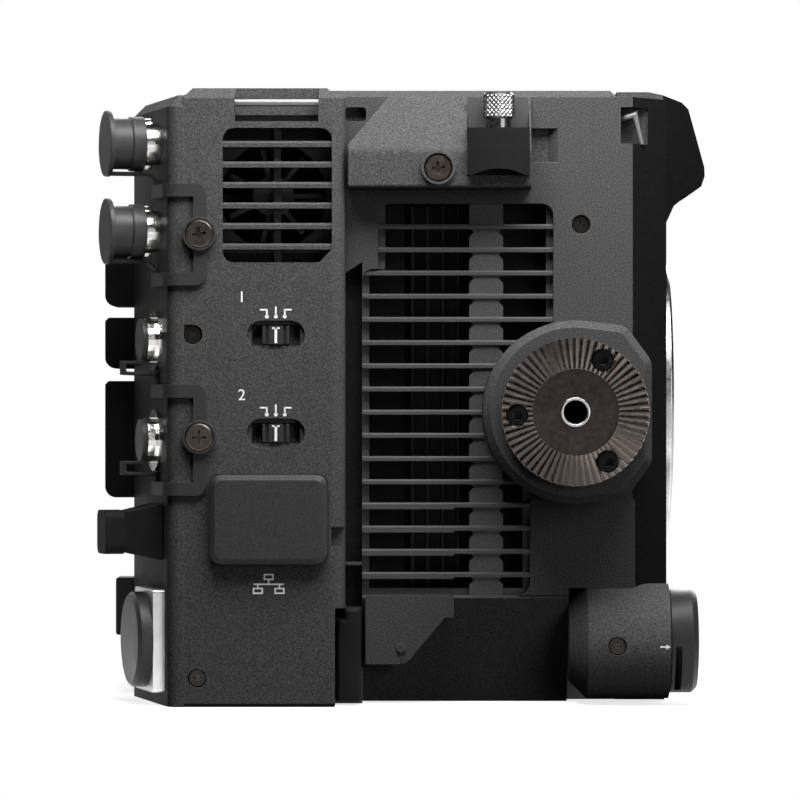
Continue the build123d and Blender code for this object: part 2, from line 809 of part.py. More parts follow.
# Shelf over the intake, with a softly creased front
with BuildPart() as shelf:
    with BuildSketch(Plane.YZ.offset(shelf_left_low)) as profile:
        Polygon(
            (step_y, shelf_bottom),
            (side_y, shelf_bottom),
            (side_y, shelf_crease),
            (step_y, case_height),
            align=None,
        )
        front_corners = profile.vertices().group_by(Axis.X)[0].sort_by(Axis.Y)
        fillet(front_corners[-1], shelf_crease_round)
        front_corners = profile.vertices().group_by(Axis.X)[0].sort_by(Axis.Y)
        fillet(front_corners[0], edge_break)
    extrude(amount=shelf_right - shelf_left_low)
    with BuildSketch(side(step_y)):
        Polygon(
            (shelf_left_low, shelf_crease + 1.3),
            (shelf_left_high, case_height),
            (shelf_left_low, case_height),
            align=None,
        )
    extrude(amount=front_setback, mode=Mode.SUBTRACT)
    with BuildSketch(side(core_step)):
        window(panel_front, shelf_right, shelf_bottom, case_height)
    extrude(amount=core_step - step_y)
    with BuildSketch(side(side_y)):
        with Locations(shelf_screw):
            turned(boss_radius)
    extrude(amount=shelf_boss_rise)
    with BuildSketch(side(side_y)):
        with Locations(shelf_screw):
            turned(boss_radius)
    extrude(amount=-front_setback)
    with BuildSketch(side(side_y)):
        window(clamp_left, clamp_right, clamp_step, case_height)
    extrude(amount=-shelf_recess, mode=Mode.SUBTRACT)
    with BuildSketch(side(side_y)):
        window(clamp_left, clamp_right, clamp_bottom, clamp_step)
    extrude(amount=-clamp_seat, mode=Mode.SUBTRACT)
    with BuildSketch(side(side_y - shelf_boss_rise)):
        with Locations(shelf_screw):
            turned(big_head_radius + fit_gap)
    extrude(amount=-big_head_height - slide_gap, mode=Mode.SUBTRACT)
    with BuildSketch(side(step_y)):
        window(
            panel_front,
            panel_front + shelf_slot_width,
            shelf_slot_top - shelf_slot_height,
            shelf_slot_top,
            edge_break,
        )
    extrude(amount=-shelf_slot_depth, mode=Mode.SUBTRACT)
save(shelf, "clamp_housing")

# Screw clamp beside the monitor terminal
with BuildPart() as video_clamp:
    for low, high, seat, rise in (
        (clamp_bottom, clamp_step, clamp_seat, clamp_rise),
        (clamp_step, clamp_top, shelf_recess, clamp_rise - thumb_shaft_radius),
    ):
        with BuildSketch(Plane.XY.offset(low)):
            with BuildLine():
                Polyline(
                    (clamp_left, side_y - rise + clamp_bulge),
                    (clamp_left, side_y + seat),
                    (clamp_right, side_y + seat),
                    (clamp_right, side_y - rise + clamp_bulge),
                )
                ThreePointArc(
                    (clamp_right, side_y - rise + clamp_bulge),
                    ((clamp_left + clamp_right) / 2, side_y - rise),
                    (clamp_left, side_y - rise + clamp_bulge),
                )
            make_face()
        extrude(amount=high - low)
    with BuildSketch(Plane.XY.offset(clamp_top)):
        with Locations((thumb_x, thumb_y)):
            turned(thumb_shaft_radius + fit_gap, small_sides)
    extrude(amount=-(clamp_top - clamp_bottom), mode=Mode.SUBTRACT)
    with BuildSketch(side(side_y - clamp_rise)):
        with Locations(((clamp_left + clamp_right) / 2, clamp_bottom + clamp_arch - clamp_arch_radius)):
            turned(clamp_arch_radius, knob_sides)
    extrude(amount=-clamp_rise, mode=Mode.SUBTRACT)
save(video_clamp, "video_clamp")

with BuildPart() as thumb_screw:
    with BuildSketch(Plane.XY.offset(thumb_bottom)):
        with Locations((thumb_x, thumb_y)):
            turned(thumb_diameter / 2)
    extrude(amount=thumb_top - thumb_bottom)
    chamfer(thumb_screw.faces().filter_by(Axis.Z).edges(), thumb_bevel)
    with BuildSketch(Plane.XY.offset(clamp_top + thumb_clearance)):
        with Locations((thumb_x, thumb_y)):
            turned(thumb_neck_diameter / 2)
    extrude(amount=thumb_bottom - clamp_top - thumb_clearance)
    with BuildSketch(Plane.XY.offset(clamp_top + thumb_clearance - thumb_shaft_depth)):
        with Locations((thumb_x, thumb_y)):
            Circle(thumb_shaft_radius)
    extrude(amount=thumb_shaft_depth)
save(thumb_screw, "knurled_screw")

# Base of the rosette: round on the rear side, straight towards the lens
with BuildPart() as rosette_base:
    with BuildSketch(side(step_y)) as base_outline:
        Polygon(
            *base_round_points(),
            *base_shoulder_points(-1),
            *reversed(base_shoulder_points(1)),
            align=None,
        )
        fillet(base_outline.vertices().sort_by(Axis.X)[-4:], base_corner)
    extrude(amount=rosette_face - rosette_thickness + step_y)
    chamfer(rosette_base.faces().sort_by(Axis.Y)[0].edges(), base_bevel)
    with BuildSketch(side(rosette_thickness - rosette_face)):
        with Locations((rosette_x, rosette_z)):
            Circle(rosette_thread_radius)
    extrude(amount=-rosette_thread_depth, mode=Mode.SUBTRACT)
save(rosette_base, "rosette_base")

# Rosette with its ring of radial teeth
rosette_places = tuple(
    (
        rosette_x + rosette_screw_circle * cos(radians(angle)),
        rosette_z + rosette_screw_circle * sin(radians(angle)),
    )
    for angle in rosette_screw_angles
)
tooth_pitch = pi * rosette_diameter / rosette_teeth
groove_reaches = (rosette_inner / 2 - fit_gap, rosette_diameter / 2 + edge_break)
with BuildPart() as tooth_groove:
    for reach in groove_reaches:
        share = 2 * reach / rosette_diameter
        half = rosette_groove_share * tooth_pitch * share / 2
        with BuildSketch(Plane(origin=(reach, 0, 0), x_dir=(0, 1, 0), z_dir=(1, 0, 0))):
            Polygon((-half, press_gap), (half, press_gap), (0, -rosette_tooth_height * share), align=None)
    loft(ruled=True)
with BuildPart() as rosette:
    with BuildSketch(side(rosette_thickness - rosette_face)):
        with Locations((rosette_x, rosette_z)):
            turned(rosette_diameter / 2, rosette_teeth)
    extrude(amount=rosette_thickness)
    with BuildSketch(side(-rosette_face)):
        with Locations((rosette_x, rosette_z)):
            turned(rosette_inner / 2, rosette_teeth)
    extrude(amount=-rosette_hub_setback - rosette_tooth_height / 2, mode=Mode.SUBTRACT)
    with Locations(Plane(origin=(rosette_x, -rosette_face, rosette_z), x_dir=(1, 0, 0), z_dir=(0, -1, 0))):
        with PolarLocations(0, rosette_teeth):
            add(tooth_groove.part, mode=Mode.SUBTRACT)
    with BuildSketch(side(-rosette_face)):
        for place in rosette_places:
            with Locations(place):
                turned(rosette_screw_head + fit_gap, small_sides)
    extrude(amount=-rosette_screw_depth, mode=Mode.SUBTRACT)
    with BuildSketch(side(-rosette_face)):
        with Locations((rosette_x, rosette_z)):
            Circle(rosette_thread_radius)
    extrude(amount=-rosette_thickness, mode=Mode.SUBTRACT)
save(rosette, "rosette")

with BuildPart() as rosette_screws:
    for place in rosette_places:
        with BuildSketch(side(rosette_screw_depth - rosette_face)):
            with Locations(place):
                turned(rosette_screw_head, small_sides)
        extrude(amount=rosette_screw_depth - rosette_hub_setback - slide_gap)
        with BuildSketch(side(rosette_hub_setback + slide_gap - rosette_face)):
            with Locations(place):
                RegularPolygon(rosette_screw_head / 2, 6)
        extrude(amount=-rosette_socket_depth, mode=Mode.SUBTRACT)
save(rosette_screws, "rosette_screws")

# Front cover with the brow over the lens
brow_overhang = brow_reach - front_face
brow_profile = (
    (front_plane, core_top),
    (front_plane, top_z),
    (front_face - 0.4 * brow_overhang, top_z),
    (front_face + 0.4 * brow_overhang, top_z - 1.7),
    (front_face + 0.575 * brow_overhang, top_z - 3.0),
    (brow_reach - 0.1, top_z - 15.6),
    (brow_reach, top_z - 17.6),
    (brow_reach - 0.9, top_z - 20.0),
    (front_face + 0.475 * brow_overhang, top_z - 22.8),
    (front_face + 0.2 * brow_overhang, top_z - 25.0),
    (front_face, top_z - brow_height),
    (front_plane, top_z - brow_height),
)
with BuildPart() as brow:
    with BuildSketch(side(brow_root_width)):
        Polygon(*brow_profile, align=None)
    extrude(amount=2 * brow_root_width)
    with BuildSketch(Plane.XY):
        Polygon(
            (front_plane, -brow_root_width),
            (front_face - edge_break, -brow_root_width),
            (brow_reach, -brow_half_width),
            (brow_reach, brow_half_width),
            (front_face - edge_break, brow_root_width),
            (front_plane, brow_root_width),
            align=None,
        )
    extrude(amount=top_z, mode=Mode.INTERSECT)
with BuildPart() as front_cover:
    with BuildSketch(Plane.XY):
        Polygon(
            (front_plane, step_y),
            (front_face - front_chamfer_x, step_y),
            (front_face, step_y + front_chamfer_y),
            (front_face, left_face - front_chamfer_y),
            (front_face - front_chamfer_x, left_face),
            (front_plane, left_face),
            align=None,
        )
    extrude(amount=case_height)
    with BuildSketch(side(core_step)):
        window(parting_top, front_plane, low_top, case_height)
    extrude(amount=panel_thickness)
    with BuildSketch(side(step_y)):
        Polygon(*front_outline, align=None)
    extrude(amount=-panel_thickness, mode=Mode.SUBTRACT)
    add(brow.part)
    with BuildSketch(facing_front(front_face)):
        with Locations((0, lens_height)):
            turned(throat_radius + mount_sleeve, mount_sides)
    extrude(amount=-front_thickness, mode=Mode.SUBTRACT)
    with BuildSketch(facing_front(front_face)):
        with Locations((throat_radius + mount_sleeve, lens_height)):
            turned(lock_pin_radius + slide_gap, small_sides)
    extrude(amount=-front_thickness + fan_inset, mode=Mode.SUBTRACT)
    with BuildSketch(side(step_y)):
        window(lug_left, lug_right, lug_bottom, lug_top)
    extrude(amount=-lug_depth, mode=Mode.SUBTRACT)
    with BuildSketch(facing_front(front_face)):
        with Locations((release_button_y, release_button_z)):
            turned(release_button_radius + fit_gap)
    extrude(amount=-release_button_depth - release_button_travel - slide_gap, mode=Mode.SUBTRACT)
    with BuildSketch(facing_front(front_plane)):
        window(step_y - edge_break, knob_y + knob_housing_radius, 0, knob_z)
        with Locations((knob_y, knob_z)):
            turned(knob_housing_radius, knob_sides)
    extrude(amount=front_thickness, mode=Mode.SUBTRACT)
save(front_cover, "front_cover")

# Housing of the record knob
with BuildPart() as knob_housing:
    with BuildSketch(facing_front(knob_housing_left)):
        with Locations((knob_y, knob_z)):
            turned(knob_housing_radius, knob_sides)
    extrude(amount=front_face - knob_housing_left)
    chamfer(knob_housing.faces().sort_by(Axis.X)[0].edges(), knob_housing_bevel)
    with BuildSketch(facing_front(front_face)):
        with Locations((knob_y, knob_z)):
            turned(knob_hub_radius)
    extrude(amount=knob_hub_length)
    with BuildSketch(facing_front(front_face + knob_hub_length)):
        with Locations((knob_y, knob_z)):
            turned(record_button_radius + fit_gap)
    extrude(amount=-knob_hub_length, mode=Mode.SUBTRACT)
    with BuildSketch(side(knob_y - knob_housing_radius)):
        with Locations(housing_screw):
            turned(small_head_radius + fit_gap, small_sides)
    extrude(amount=-small_recess_depth, mode=Mode.SUBTRACT)
save(knob_housing, "knob_housing")

with BuildPart() as front_knob:
    with BuildSketch(facing_front(front_face + knob_gap)):
        with Locations((knob_y, knob_z)):
            turned(knob_ring_radius, knob_sides)
    extrude(amount=knob_ring_length)
    chamfer(front_knob.faces().sort_by(Axis.X)[-1].edges(), knob_ring_bevel)
    with BuildSketch(facing_front(front_face)):
        with Locations((knob_y, knob_z)):
            Circle(knob_hub_radius + fit_gap)
    extrude(amount=knob_gap + knob_ring_length, mode=Mode.SUBTRACT)
save(front_knob, "front_knob")

with BuildPart() as rec_button:
    with BuildSketch(facing_front(front_face + record_travel + knob_gap)):
        with Locations((knob_y, knob_z)):
            turned(record_button_radius)
    extrude(amount=knob_hub_length)
    chamfer(rec_button.faces().sort_by(Axis.X)[-1].edges(), edge_break)
save(rec_button, "rec_button")

# Lens mount ring with three bayonet tabs
with BuildPart() as lens_mount_ring:
    with BuildSketch(facing_front(front_face)):
        with Locations((0, lens_height)):
            turned(mount_radius, mount_sides)
    extrude(amount=mount_flange)
    chamfer(lens_mount_ring.faces().sort_by(Axis.X)[-1].edges(), mount_bevel)
    with BuildSketch(facing_front(front_face)):
        with Locations((0, lens_height)):
            turned(throat_radius + mount_sleeve - press_gap, mount_sides)
    extrude(amount=-mount_sleeve_length)
    with BuildSketch(facing_front(mount_x)):
        with Locations((0, lens_height)):
            turned(throat_radius, mount_sides)
    extrude(amount=-mount_flange - mount_sleeve_length, mode=Mode.SUBTRACT)
    for turn in (90, 210, 330):
        with BuildSketch(facing_front(front_face)):
            with Locations((0, lens_height)):
                turned(throat_radius + mount_bevel, mount_sides)
                turned(throat_radius - mount_tab, mount_sides, mode=Mode.SUBTRACT)
            lens_sector(turn, mount_tab_half_angle)
        extrude(amount=mount_flange - 2 * mount_bevel)
    with BuildSketch(facing_front(mount_x)):
        with Locations((throat_radius + mount_sleeve, lens_height)):
            turned(lock_pin_radius + fit_gap, small_sides)
    extrude(amount=-mount_flange - mount_sleeve_length, mode=Mode.SUBTRACT)
save(lens_mount_ring, "lens_mount_ring")

with BuildPart() as lens_lock_pin:
    with BuildSketch(facing_front(mount_x - lock_pin_length)):
        with Locations((throat_radius + mount_sleeve, lens_height)):
            turned(lock_pin_radius, small_sides)
    extrude(amount=lock_pin_length + lock_pin_rise)
    chamfer(lens_lock_pin.faces().sort_by(Axis.X)[-1].edges(), edge_break / 2)
save(lens_lock_pin, "lens_lock_pin")

with BuildPart() as lens_release_button:
    with BuildSketch(facing_front(front_face - release_button_depth)):
        with Locations((release_button_y, release_button_z)):
            turned(release_button_radius)
    extrude(amount=release_button_depth + release_button_travel + mount_bevel)
    chamfer(lens_release_button.faces().sort_by(Axis.X)[-1].edges(), edge_break)
save(lens_release_button, "lens_release_button")

# Lens contacts at the foot of the throat
with BuildPart() as contact_block:
    with BuildSketch(facing_front(front_face - 6.0)):
        with Locations((0, lens_height)):
            turned(throat_radius - press_gap, mount_sides)
            turned(throat_radius - contact_rise, mount_sides, mode=Mode.SUBTRACT)
        lens_sector(-90, contact_half_angle)
    extrude(amount=5.0)
    for contact in range(contact_count):
        angle = radians(-90 + (contact - (contact_count - 1) / 2) * contact_step)
        reach = throat_radius - contact_rise / 2
        with BuildSketch(facing_front(front_face - 1.0)):
            with Locations((reach * cos(angle), lens_height + reach * sin(angle))):
                turned(contact_radius, pin_sides)
        extrude(amount=mount_bevel)
save(contact_block, "contact_block")

# Sensor behind its cover glass
with BuildPart() as sensor_package:
    with BuildSketch(facing_front(sensor_x)):
        with Locations((0, lens_height)):
            Rectangle(sensor_seat, sensor_height + 2 * sensor_board)
    extrude(amount=-sensor_board)
    with BuildSketch(facing_front(sensor_x)):
        with Locations((0, lens_height)):
            Rectangle(sensor_width, sensor_height)
    extrude(amount=sensor_glass)
save(sensor_package, "sensor_package")

# Sliding filter carriage, shown out of the light path
with BuildPart() as nd_carrier:
    with BuildSketch(facing_front(front_plane - slide_gap)):
        with Locations((0, lens_height + carrier_travel)):
            Rectangle(carrier_width, carrier_height)
            Rectangle(
                carrier_width - 2 * carrier_rim_width,
                carrier_height - 2 * carrier_rim_height,
                mode=Mode.SUBTRACT,
            )
    extrude(amount=-carrier_thickness)
save(nd_carrier, "nd_carrier")

with BuildPart() as nd_glass:
    with BuildSketch(facing_front(front_plane - slide_gap - carrier_thickness / 4)):
        with Locations((0, lens_height + carrier_travel)):
            Rectangle(carrier_width - 2 * carrier_rim_width, carrier_height - 2 * carrier_rim_height)
    extrude(amount=-carrier_thickness / 2)
save(nd_glass, "nd_glass")

# Fan behind the exhaust vent and heat sink in the intake duct
with BuildPart() as fan_housing:
    with BuildSketch(side(core_right)):
        with Locations((fan_x, fan_z)):
            Rectangle(fan_size, fan_size)
            turned(fan_size / 2 - fan_wall, mode=Mode.SUBTRACT)
    extrude(amount=-fan_thickness)
    with BuildSketch(side(core_right + fan_thickness)):
        with Locations((fan_x, fan_z)):
            turned(fan_hub_radius)
            Rectangle(fan_size, fan_spoke)
            Rectangle(fan_spoke, fan_size)
    extrude(amount=fan_spoke_depth)
save(fan_housing, "fan_housing")

with BuildPart() as fan_rotor:
    with BuildSketch(side(core_right + fan_inset)):
        with Locations((fan_x, fan_z)):
            Circle(fan_hub_radius)
    extrude(amount=-(fan_thickness - fan_inset - fan_spoke_depth - fan_running_gap))
    with BuildSketch(side(core_right + fan_inset)):
        with Locations((fan_x, fan_z)):
            with PolarLocations(fan_hub_radius - fan_running_gap, fan_blades):
                Rectangle(fan_blade_length, fan_blade_thickness, align=(Align.MIN, Align.CENTER))
    extrude(amount=-fan_blade_depth)
save(fan_rotor, "fan_rotor")

with BuildPart() as heat_sink:
    with BuildSketch(Plane.XY.offset(grille_bottom)):
        window(duct_left, duct_right, core_step + duct_depth - sink_base, core_step + duct_depth)
        for fin in range(sink_fins):
            place = duct_left + (fin + 0.5) * (duct_right - duct_left) / sink_fins
            window(
                place - sink_fin_thickness / 2,
                place + sink_fin_thickness / 2,
                core_step + plenum_depth + sink_gap,
                core_step + duct_depth - sink_base / 2,
            )
    extrude(amount=grille_top - grille_bottom)
save(heat_sink, "heat_sink")

# Top plate with its accessory threads
with BuildPart() as top_plate:
    with BuildSketch(Plane.XY.offset(core_top)):
        case_outline()
    extrude(amount=top_thickness)
    chamfer(top_plate.faces().sort_by(Axis.Z)[-1].edges(), top_rise - press_gap)
    with BuildSketch(side(core_right)):
        window(strap_left, strap_right, strap_floor, top_z)
    extrude(amount=-(strap_depth - panel_thickness + edge_break), mode=Mode.SUBTRACT)
    with BuildSketch(Plane.XY.offset(top_z)):
        for place in top_thread_places:
            with Locations(place):
                Circle(tripod_radius)
    extrude(amount=-top_thickness, mode=Mode.SUBTRACT)
save(top_plate, "top_plate")

# Base with the tripod threads: a flange under the left panel, a block and a plain pad under the chassis
with BuildPart() as base_plate:
    for low, high, left in ((0, base_thickness, left_face), (base_thickness, pad_bottom, core_left)):
        with BuildSketch(Plane.XY.offset(low)):
            Polygon(
                (rear_plane, core_right),
                (wall_x, core_right),
                (wall_x, core_step),
                (grille_left, core_step),
                (grille_left, low_y),
                (front_plane, low_y),
                (front_plane, left),
                (rear_plane, left),
                align=None,
            )
        extrude(amount=high - low)
    with BuildSketch(Plane.XY.offset(pad_bottom)):
        window(rear_plane, front_plane, low_y, core_left)
    extrude(amount=base_pad)
    with BuildSketch(Plane.XY):
        Circle(tripod_radius)
        with Locations((large_thread_x, 0)):
            Circle(large_thread_radius)
    extrude(amount=thread_depth, mode=Mode.SUBTRACT)
save(base_plate, "base_plate")

# Left side panel with the card bay and control seats
with BuildPart() as left_panel:
    with BuildSketch(side(left_face)):
        window(rear_plane, front_plane, base_thickness, case_height)
    extrude(amount=panel_thickness)
    with BuildSketch(side(left_face)):
        window(door_left - slide_gap, door_right + slide_gap, door_bottom - slide_gap, door_top + slide_gap)
    extrude(amount=door_thickness + fit_gap, mode=Mode.SUBTRACT)
    with BuildSketch(side(left_face)):
        for place in (0.35, 0.65):
            with Locations((door_left + place * (door_right - door_left), (door_bottom + door_top) / 2)):
                Rectangle(card_slot_width, card_slot_height)
    extrude(amount=panel_thickness, mode=Mode.SUBTRACT)
    with BuildSketch(side(left_face)):
        with Locations((power_x, power_z)):
            Rectangle(
                power_knob_length + 2 * power_travel + 2 * slide_gap, power_knob_height + 2 * slide_gap
            )
    extrude(amount=power_seat, mode=Mode.SUBTRACT)
    with BuildSketch(side(left_face)):
        for height in button_heights:
            with Locations((button_x, height)):
                turned(button_diameter / 2 + fit_gap)
    extrude(amount=button_depth, mode=Mode.SUBTRACT)
    with BuildSketch(side(left_face)):
        with Locations((dial_x, dial_z)):
            turned(dial_diameter / 2 + slide_gap, knob_sides)
    extrude(amount=dial_seat, mode=Mode.SUBTRACT)
save(left_panel, "left_panel")

with BuildPart() as media_door:
    with BuildSketch(side(left_face)):
        window(door_left, door_right, door_bottom, door_top)
    extrude(amount=door_thickness)
    with BuildSketch(side(left_face)):
        window(
            door_right - door_grip_inset - door_grip_width / 2,
            door_right - door_grip_inset + door_grip_width / 2,
            (door_bottom + door_top - door_grip_length) / 2,
            (door_bottom + door_top + door_grip_length) / 2,
            door_grip_width / 2 - fit_gap,
        )
    extrude(amount=door_thickness / 3, mode=Mode.SUBTRACT)
save(media_door, "media_door")

with BuildPart() as power_switch:
    with BuildSketch(side(left_face - power_seat + seat_gap)):
        with Locations((power_x - power_travel, power_z)):
            Rectangle(power_knob_length, power_knob_height)
    extrude(amount=-(power_seat - seat_gap + power_knob_rise))
    chamfer(power_switch.faces().sort_by(Axis.Y)[-1].edges(), edge_break / 2)
save(power_switch, "power_switch")

with BuildPart() as select_dial:
    with BuildSketch(side(left_face - dial_seat + seat_gap)):
        with Locations((dial_x, dial_z)):
            turned(dial_diameter / 2, dial_sides)
    extrude(amount=-(dial_seat - seat_gap + dial_rise))
    chamfer(select_dial.faces().sort_by(Axis.Y)[-1].edges(), edge_break)
save(select_dial, "select_dial")

for number, height in enumerate(button_heights, start=1):
    with BuildPart() as assign_button:
        with BuildSketch(side(left_face - button_depth + button_travel + seat_gap)):
            with Locations((button_x, height)):
                turned(button_diameter / 2)
        extrude(amount=-(button_depth - button_travel - seat_gap + button_rise))
        chamfer(assign_button.faces().sort_by(Axis.Y)[-1].edges(), slide_gap)
    save(assign_button, f"assign_button_{number}")

# Network jack and its hinged cover
network_x = (network_left + network_right) / 2
network_z = (network_bottom + network_top) / 2
with BuildPart() as ethernet_jack:
    with BuildSketch(side(side_y + network_seat)):
        with Locations((network_x, network_z)):
            Rectangle(jack_width, jack_height)
    extrude(amount=-jack_depth)
    with BuildSketch(side(side_y + network_seat)):
        with Locations((network_x, network_z)):
            Rectangle(jack_mouth_width, jack_mouth_height)
    extrude(amount=-jack_mouth_depth, mode=Mode.SUBTRACT)
save(ethernet_jack, "ethernet_jack")

with BuildPart() as ethernet_cover:
    with BuildSketch(side(side_y + network_seat)):
        window(network_left, network_right, network_bottom, network_top, network_corner)
    extrude(amount=network_seat + network_cover_rise)
    chamfer(ethernet_cover.faces().sort_by(Axis.Y)[0].edges(), network_bevel)
save(ethernet_cover, "ethernet_cover")

# Pull-out cover of the grip terminal, at the foot of the channel
with BuildPart() as grip_cover:
    with BuildSketch(side(core_step)):
        window(wall_x + fit_gap, grille_left - fit_gap, edge_break, grip_top)
        with Locations((wall_x + fit_gap, grip_top)):
            Rectangle(2 * grip_notch_width, 2 * grip_notch_height, mode=Mode.SUBTRACT)
    extrude(amount=grip_cover_rise)
    chamfer(grip_cover.faces().sort_by(Axis.Y)[0].edges(), edge_break)
save(grip_cover, "grip_cover")

# Slide switches of the two audio inputs
for number, height in enumerate(switch_heights, start=1):
    with BuildPart() as input_switch:
        with BuildSketch(side(side_y + switch_slot_depth)):
            with Locations((switch_x, height)):
                Rectangle(switch_knob_width, switch_slot_height - 2 * slide_gap)
        extrude(amount=switch_slot_depth - slide_gap)
        with BuildSketch(side(side_y + slide_gap)):
            for shift in (-1, 1):
                with Locations((switch_x + shift * switch_knob_width / 3, height)):
                    Rectangle(switch_groove, switch_slot_height)
        extrude(amount=-switch_groove, mode=Mode.SUBTRACT)
    save(input_switch, f"input_switch_{number}")

# Coaxial terminals: barrel with two lugs and a centre contact, and the smaller synchronising one
with BuildPart() as bnc_connectors:
    for height in coax_heights:
        with BuildSketch(terminal()):
            with Locations((terminal_offset, height)):
                turned(coax_barrel_diameter / 2)
        extrude(amount=coax_barrel_length)
        with BuildSketch(terminal(coax_floor)):
            with Locations((terminal_offset, height)):
                turned(coax_barrel_diameter / 2 - coax_wall)
                turned(coax_pin_radius, pin_sides, mode=Mode.SUBTRACT)
        extrude(amount=coax_barrel_length, mode=Mode.SUBTRACT)
        with BuildSketch(terminal()):
            with Locations((terminal_offset, height)):
                turned(coax_stem_radius - press_gap, small_sides)
        extrude(amount=-terminal_depth)
        with BuildSketch(terminal(coax_floor)):
            with Locations((terminal_offset, height)):
                Rectangle(coax_lug, coax_barrel_diameter + coax_lug)
                turned(coax_barrel_diameter / 2 - coax_wall / 2, mode=Mode.SUBTRACT)
        extrude(amount=coax_lug)
    with BuildSketch(terminal(-terminal_depth)):
        with Locations((terminal_offset, sync_height)):
            turned(sync_barrel_radius - press_gap, small_sides)
    extrude(amount=terminal_depth + sync_barrel_length)
save(bnc_connectors, "bnc_connectors")

# Small round audio terminals
with BuildPart() as xlr_connectors:
    for height in audio_heights:
        with BuildSketch(terminal()):
            with Locations((terminal_offset, height)):
                turned(audio_barrel_diameter / 2 - press_gap)
        extrude(amount=-terminal_depth)
        with BuildSketch(terminal()):
            with Locations((terminal_offset, height)):
                turned(audio_flange_diameter / 2)
        extrude(amount=audio_flange_thickness)
        with BuildSketch(terminal(audio_flange_thickness)):
            with Locations((terminal_offset, height)):
                turned((audio_socket_diameter + audio_barrel_diameter) / 4)
        extrude(amount=audio_barrel_length - audio_flange_thickness)
        with BuildSketch(terminal(audio_barrel_length)):
            with Locations((terminal_offset, height)):
                turned(audio_socket_diameter / 2)
                with PolarLocations(audio_socket_diameter / 4, 3):
                    turned(audio_pin_radius, pin_sides, mode=Mode.SUBTRACT)
        extrude(amount=-audio_barrel_length - audio_socket_depth, mode=Mode.SUBTRACT)
        with BuildSketch(terminal(audio_barrel_length)):
            with Locations((terminal_offset, height)):
                turned(audio_socket_diameter / 2)
        extrude(amount=-audio_plug_length - fit_gap, mode=Mode.SUBTRACT)
save(xlr_connectors, "xlr_connectors")

# Power inlet on its flange
with BuildPart() as dc_in_connector:
    with BuildSketch(terminal()):
        window(
            power_offset - power_flange_width / 2,
            power_offset + power_flange_width / 2,
            power_centre - power_flange_height / 2,
            power_centre + power_flange_height / 2,
            edge_break,
        )
    extrude(amount=power_flange_thickness)
    with BuildSketch(terminal()):
        with Locations((power_offset, power_centre)):
            turned(power_stem_radius - press_gap, small_sides)
    extrude(amount=-terminal_depth)
    with BuildSketch(terminal(power_flange_thickness)):
        with Locations((power_offset, power_centre)):
            turned(power_socket_radius, small_sides)
            with GridLocations(power_pin_spacing, power_pin_spacing, 2, 2):
                turned(power_pin_radius, pin_sides, mode=Mode.SUBTRACT)
    extrude(amount=-power_flange_thickness - audio_socket_depth, mode=Mode.SUBTRACT)
save(dc_in_connector, "dc_in_connector")

with BuildPart() as dc_in_cap:
    with BuildSketch(terminal(power_flange_thickness)):
        with Locations((power_offset, power_centre)):
            turned(power_cap_diameter / 2, knob_sides)
    extrude(amount=power_cap_thickness)
    outward = Axis((0, 0, 0), terminal().z_dir)
    chamfer(dc_in_cap.faces().sort_by(outward)[-1].edges(), edge_break)
save(dc_in_cap, "dc_in_cap")

# Caps over the coaxial and audio terminals
for number, height in enumerate(coax_heights, start=1):
    with BuildPart() as cap:
        with BuildSketch(terminal(coax_sleeve_start)):
            with Locations((terminal_offset, height)):
                turned(coax_sleeve_diameter / 2)
        extrude(amount=coax_cap_front - coax_sleeve_start)
        with BuildSketch(terminal(coax_sleeve_start)):
            with Locations((terminal_offset, height)):
                turned(coax_collar_diameter / 2)
        extrude(amount=coax_collar_length)
        with BuildSketch(terminal(coax_cap_front)):
            with Locations((terminal_offset, height)):
                turned(coax_cap_diameter / 2)
        extrude(amount=-coax_disc_thickness)
        with BuildSketch(terminal(coax_sleeve_start)):
            with Locations((terminal_offset, height)):
                turned(coax_barrel_diameter / 2 + fit_gap)
        extrude(amount=coax_barrel_length - coax_sleeve_start + slide_gap, mode=Mode.SUBTRACT)
    save(cap, f"bnc_cap_{number}")

for number, height in enumerate(audio_heights, start=1):
    with BuildPart() as cap:
        with BuildSketch(terminal(audio_barrel_length + seat_gap)):
            with Locations((terminal_offset, height)):
                turned(audio_cap_diameter / 2)
            with Locations((terminal_offset, height - audio_cap_diameter / 2 + fit_gap)):
                Rectangle(strap_width, 2 * strap_thickness)
        extrude(amount=audio_cap_thickness)
        with BuildSketch(terminal(audio_barrel_length + seat_gap)):
            with Locations((terminal_offset, height)):
                turned(audio_socket_diameter / 2 - fit_gap)
        extrude(amount=-audio_plug_length)
    save(cap, f"xlr_cap_{number}")

# Boxed cap over the synchronising terminal, narrowing to a rounded nub
with BuildPart() as sync_cover:
    with BuildSketch(terminal(slide_gap)):
        with Locations((terminal_offset, sync_height)):
            Rectangle(sync_width, sync_top - sync_bottom)
    with BuildSketch(terminal(sync_body_length)):
        with Locations((terminal_offset, sync_height)):
            Rectangle(sync_nub_width, sync_nub_height - edge_break)
    loft(ruled=True)
    with BuildSketch(terminal(sync_body_length)):
        window(
            terminal_offset - sync_nub_width / 2,
            terminal_offset + sync_nub_width / 2,
            sync_height - sync_nub_height / 2,
            sync_height + sync_nub_height / 2,
            sync_nub_corner,
        )
    extrude(amount=sync_length - sync_body_length)
    with BuildSketch(terminal(slide_gap)):
        with Locations((terminal_offset, sync_height)):
            turned(sync_barrel_radius + slide_gap, small_sides)
    extrude(amount=sync_barrel_length, mode=Mode.SUBTRACT)
save(sync_cover, "sync_cover")

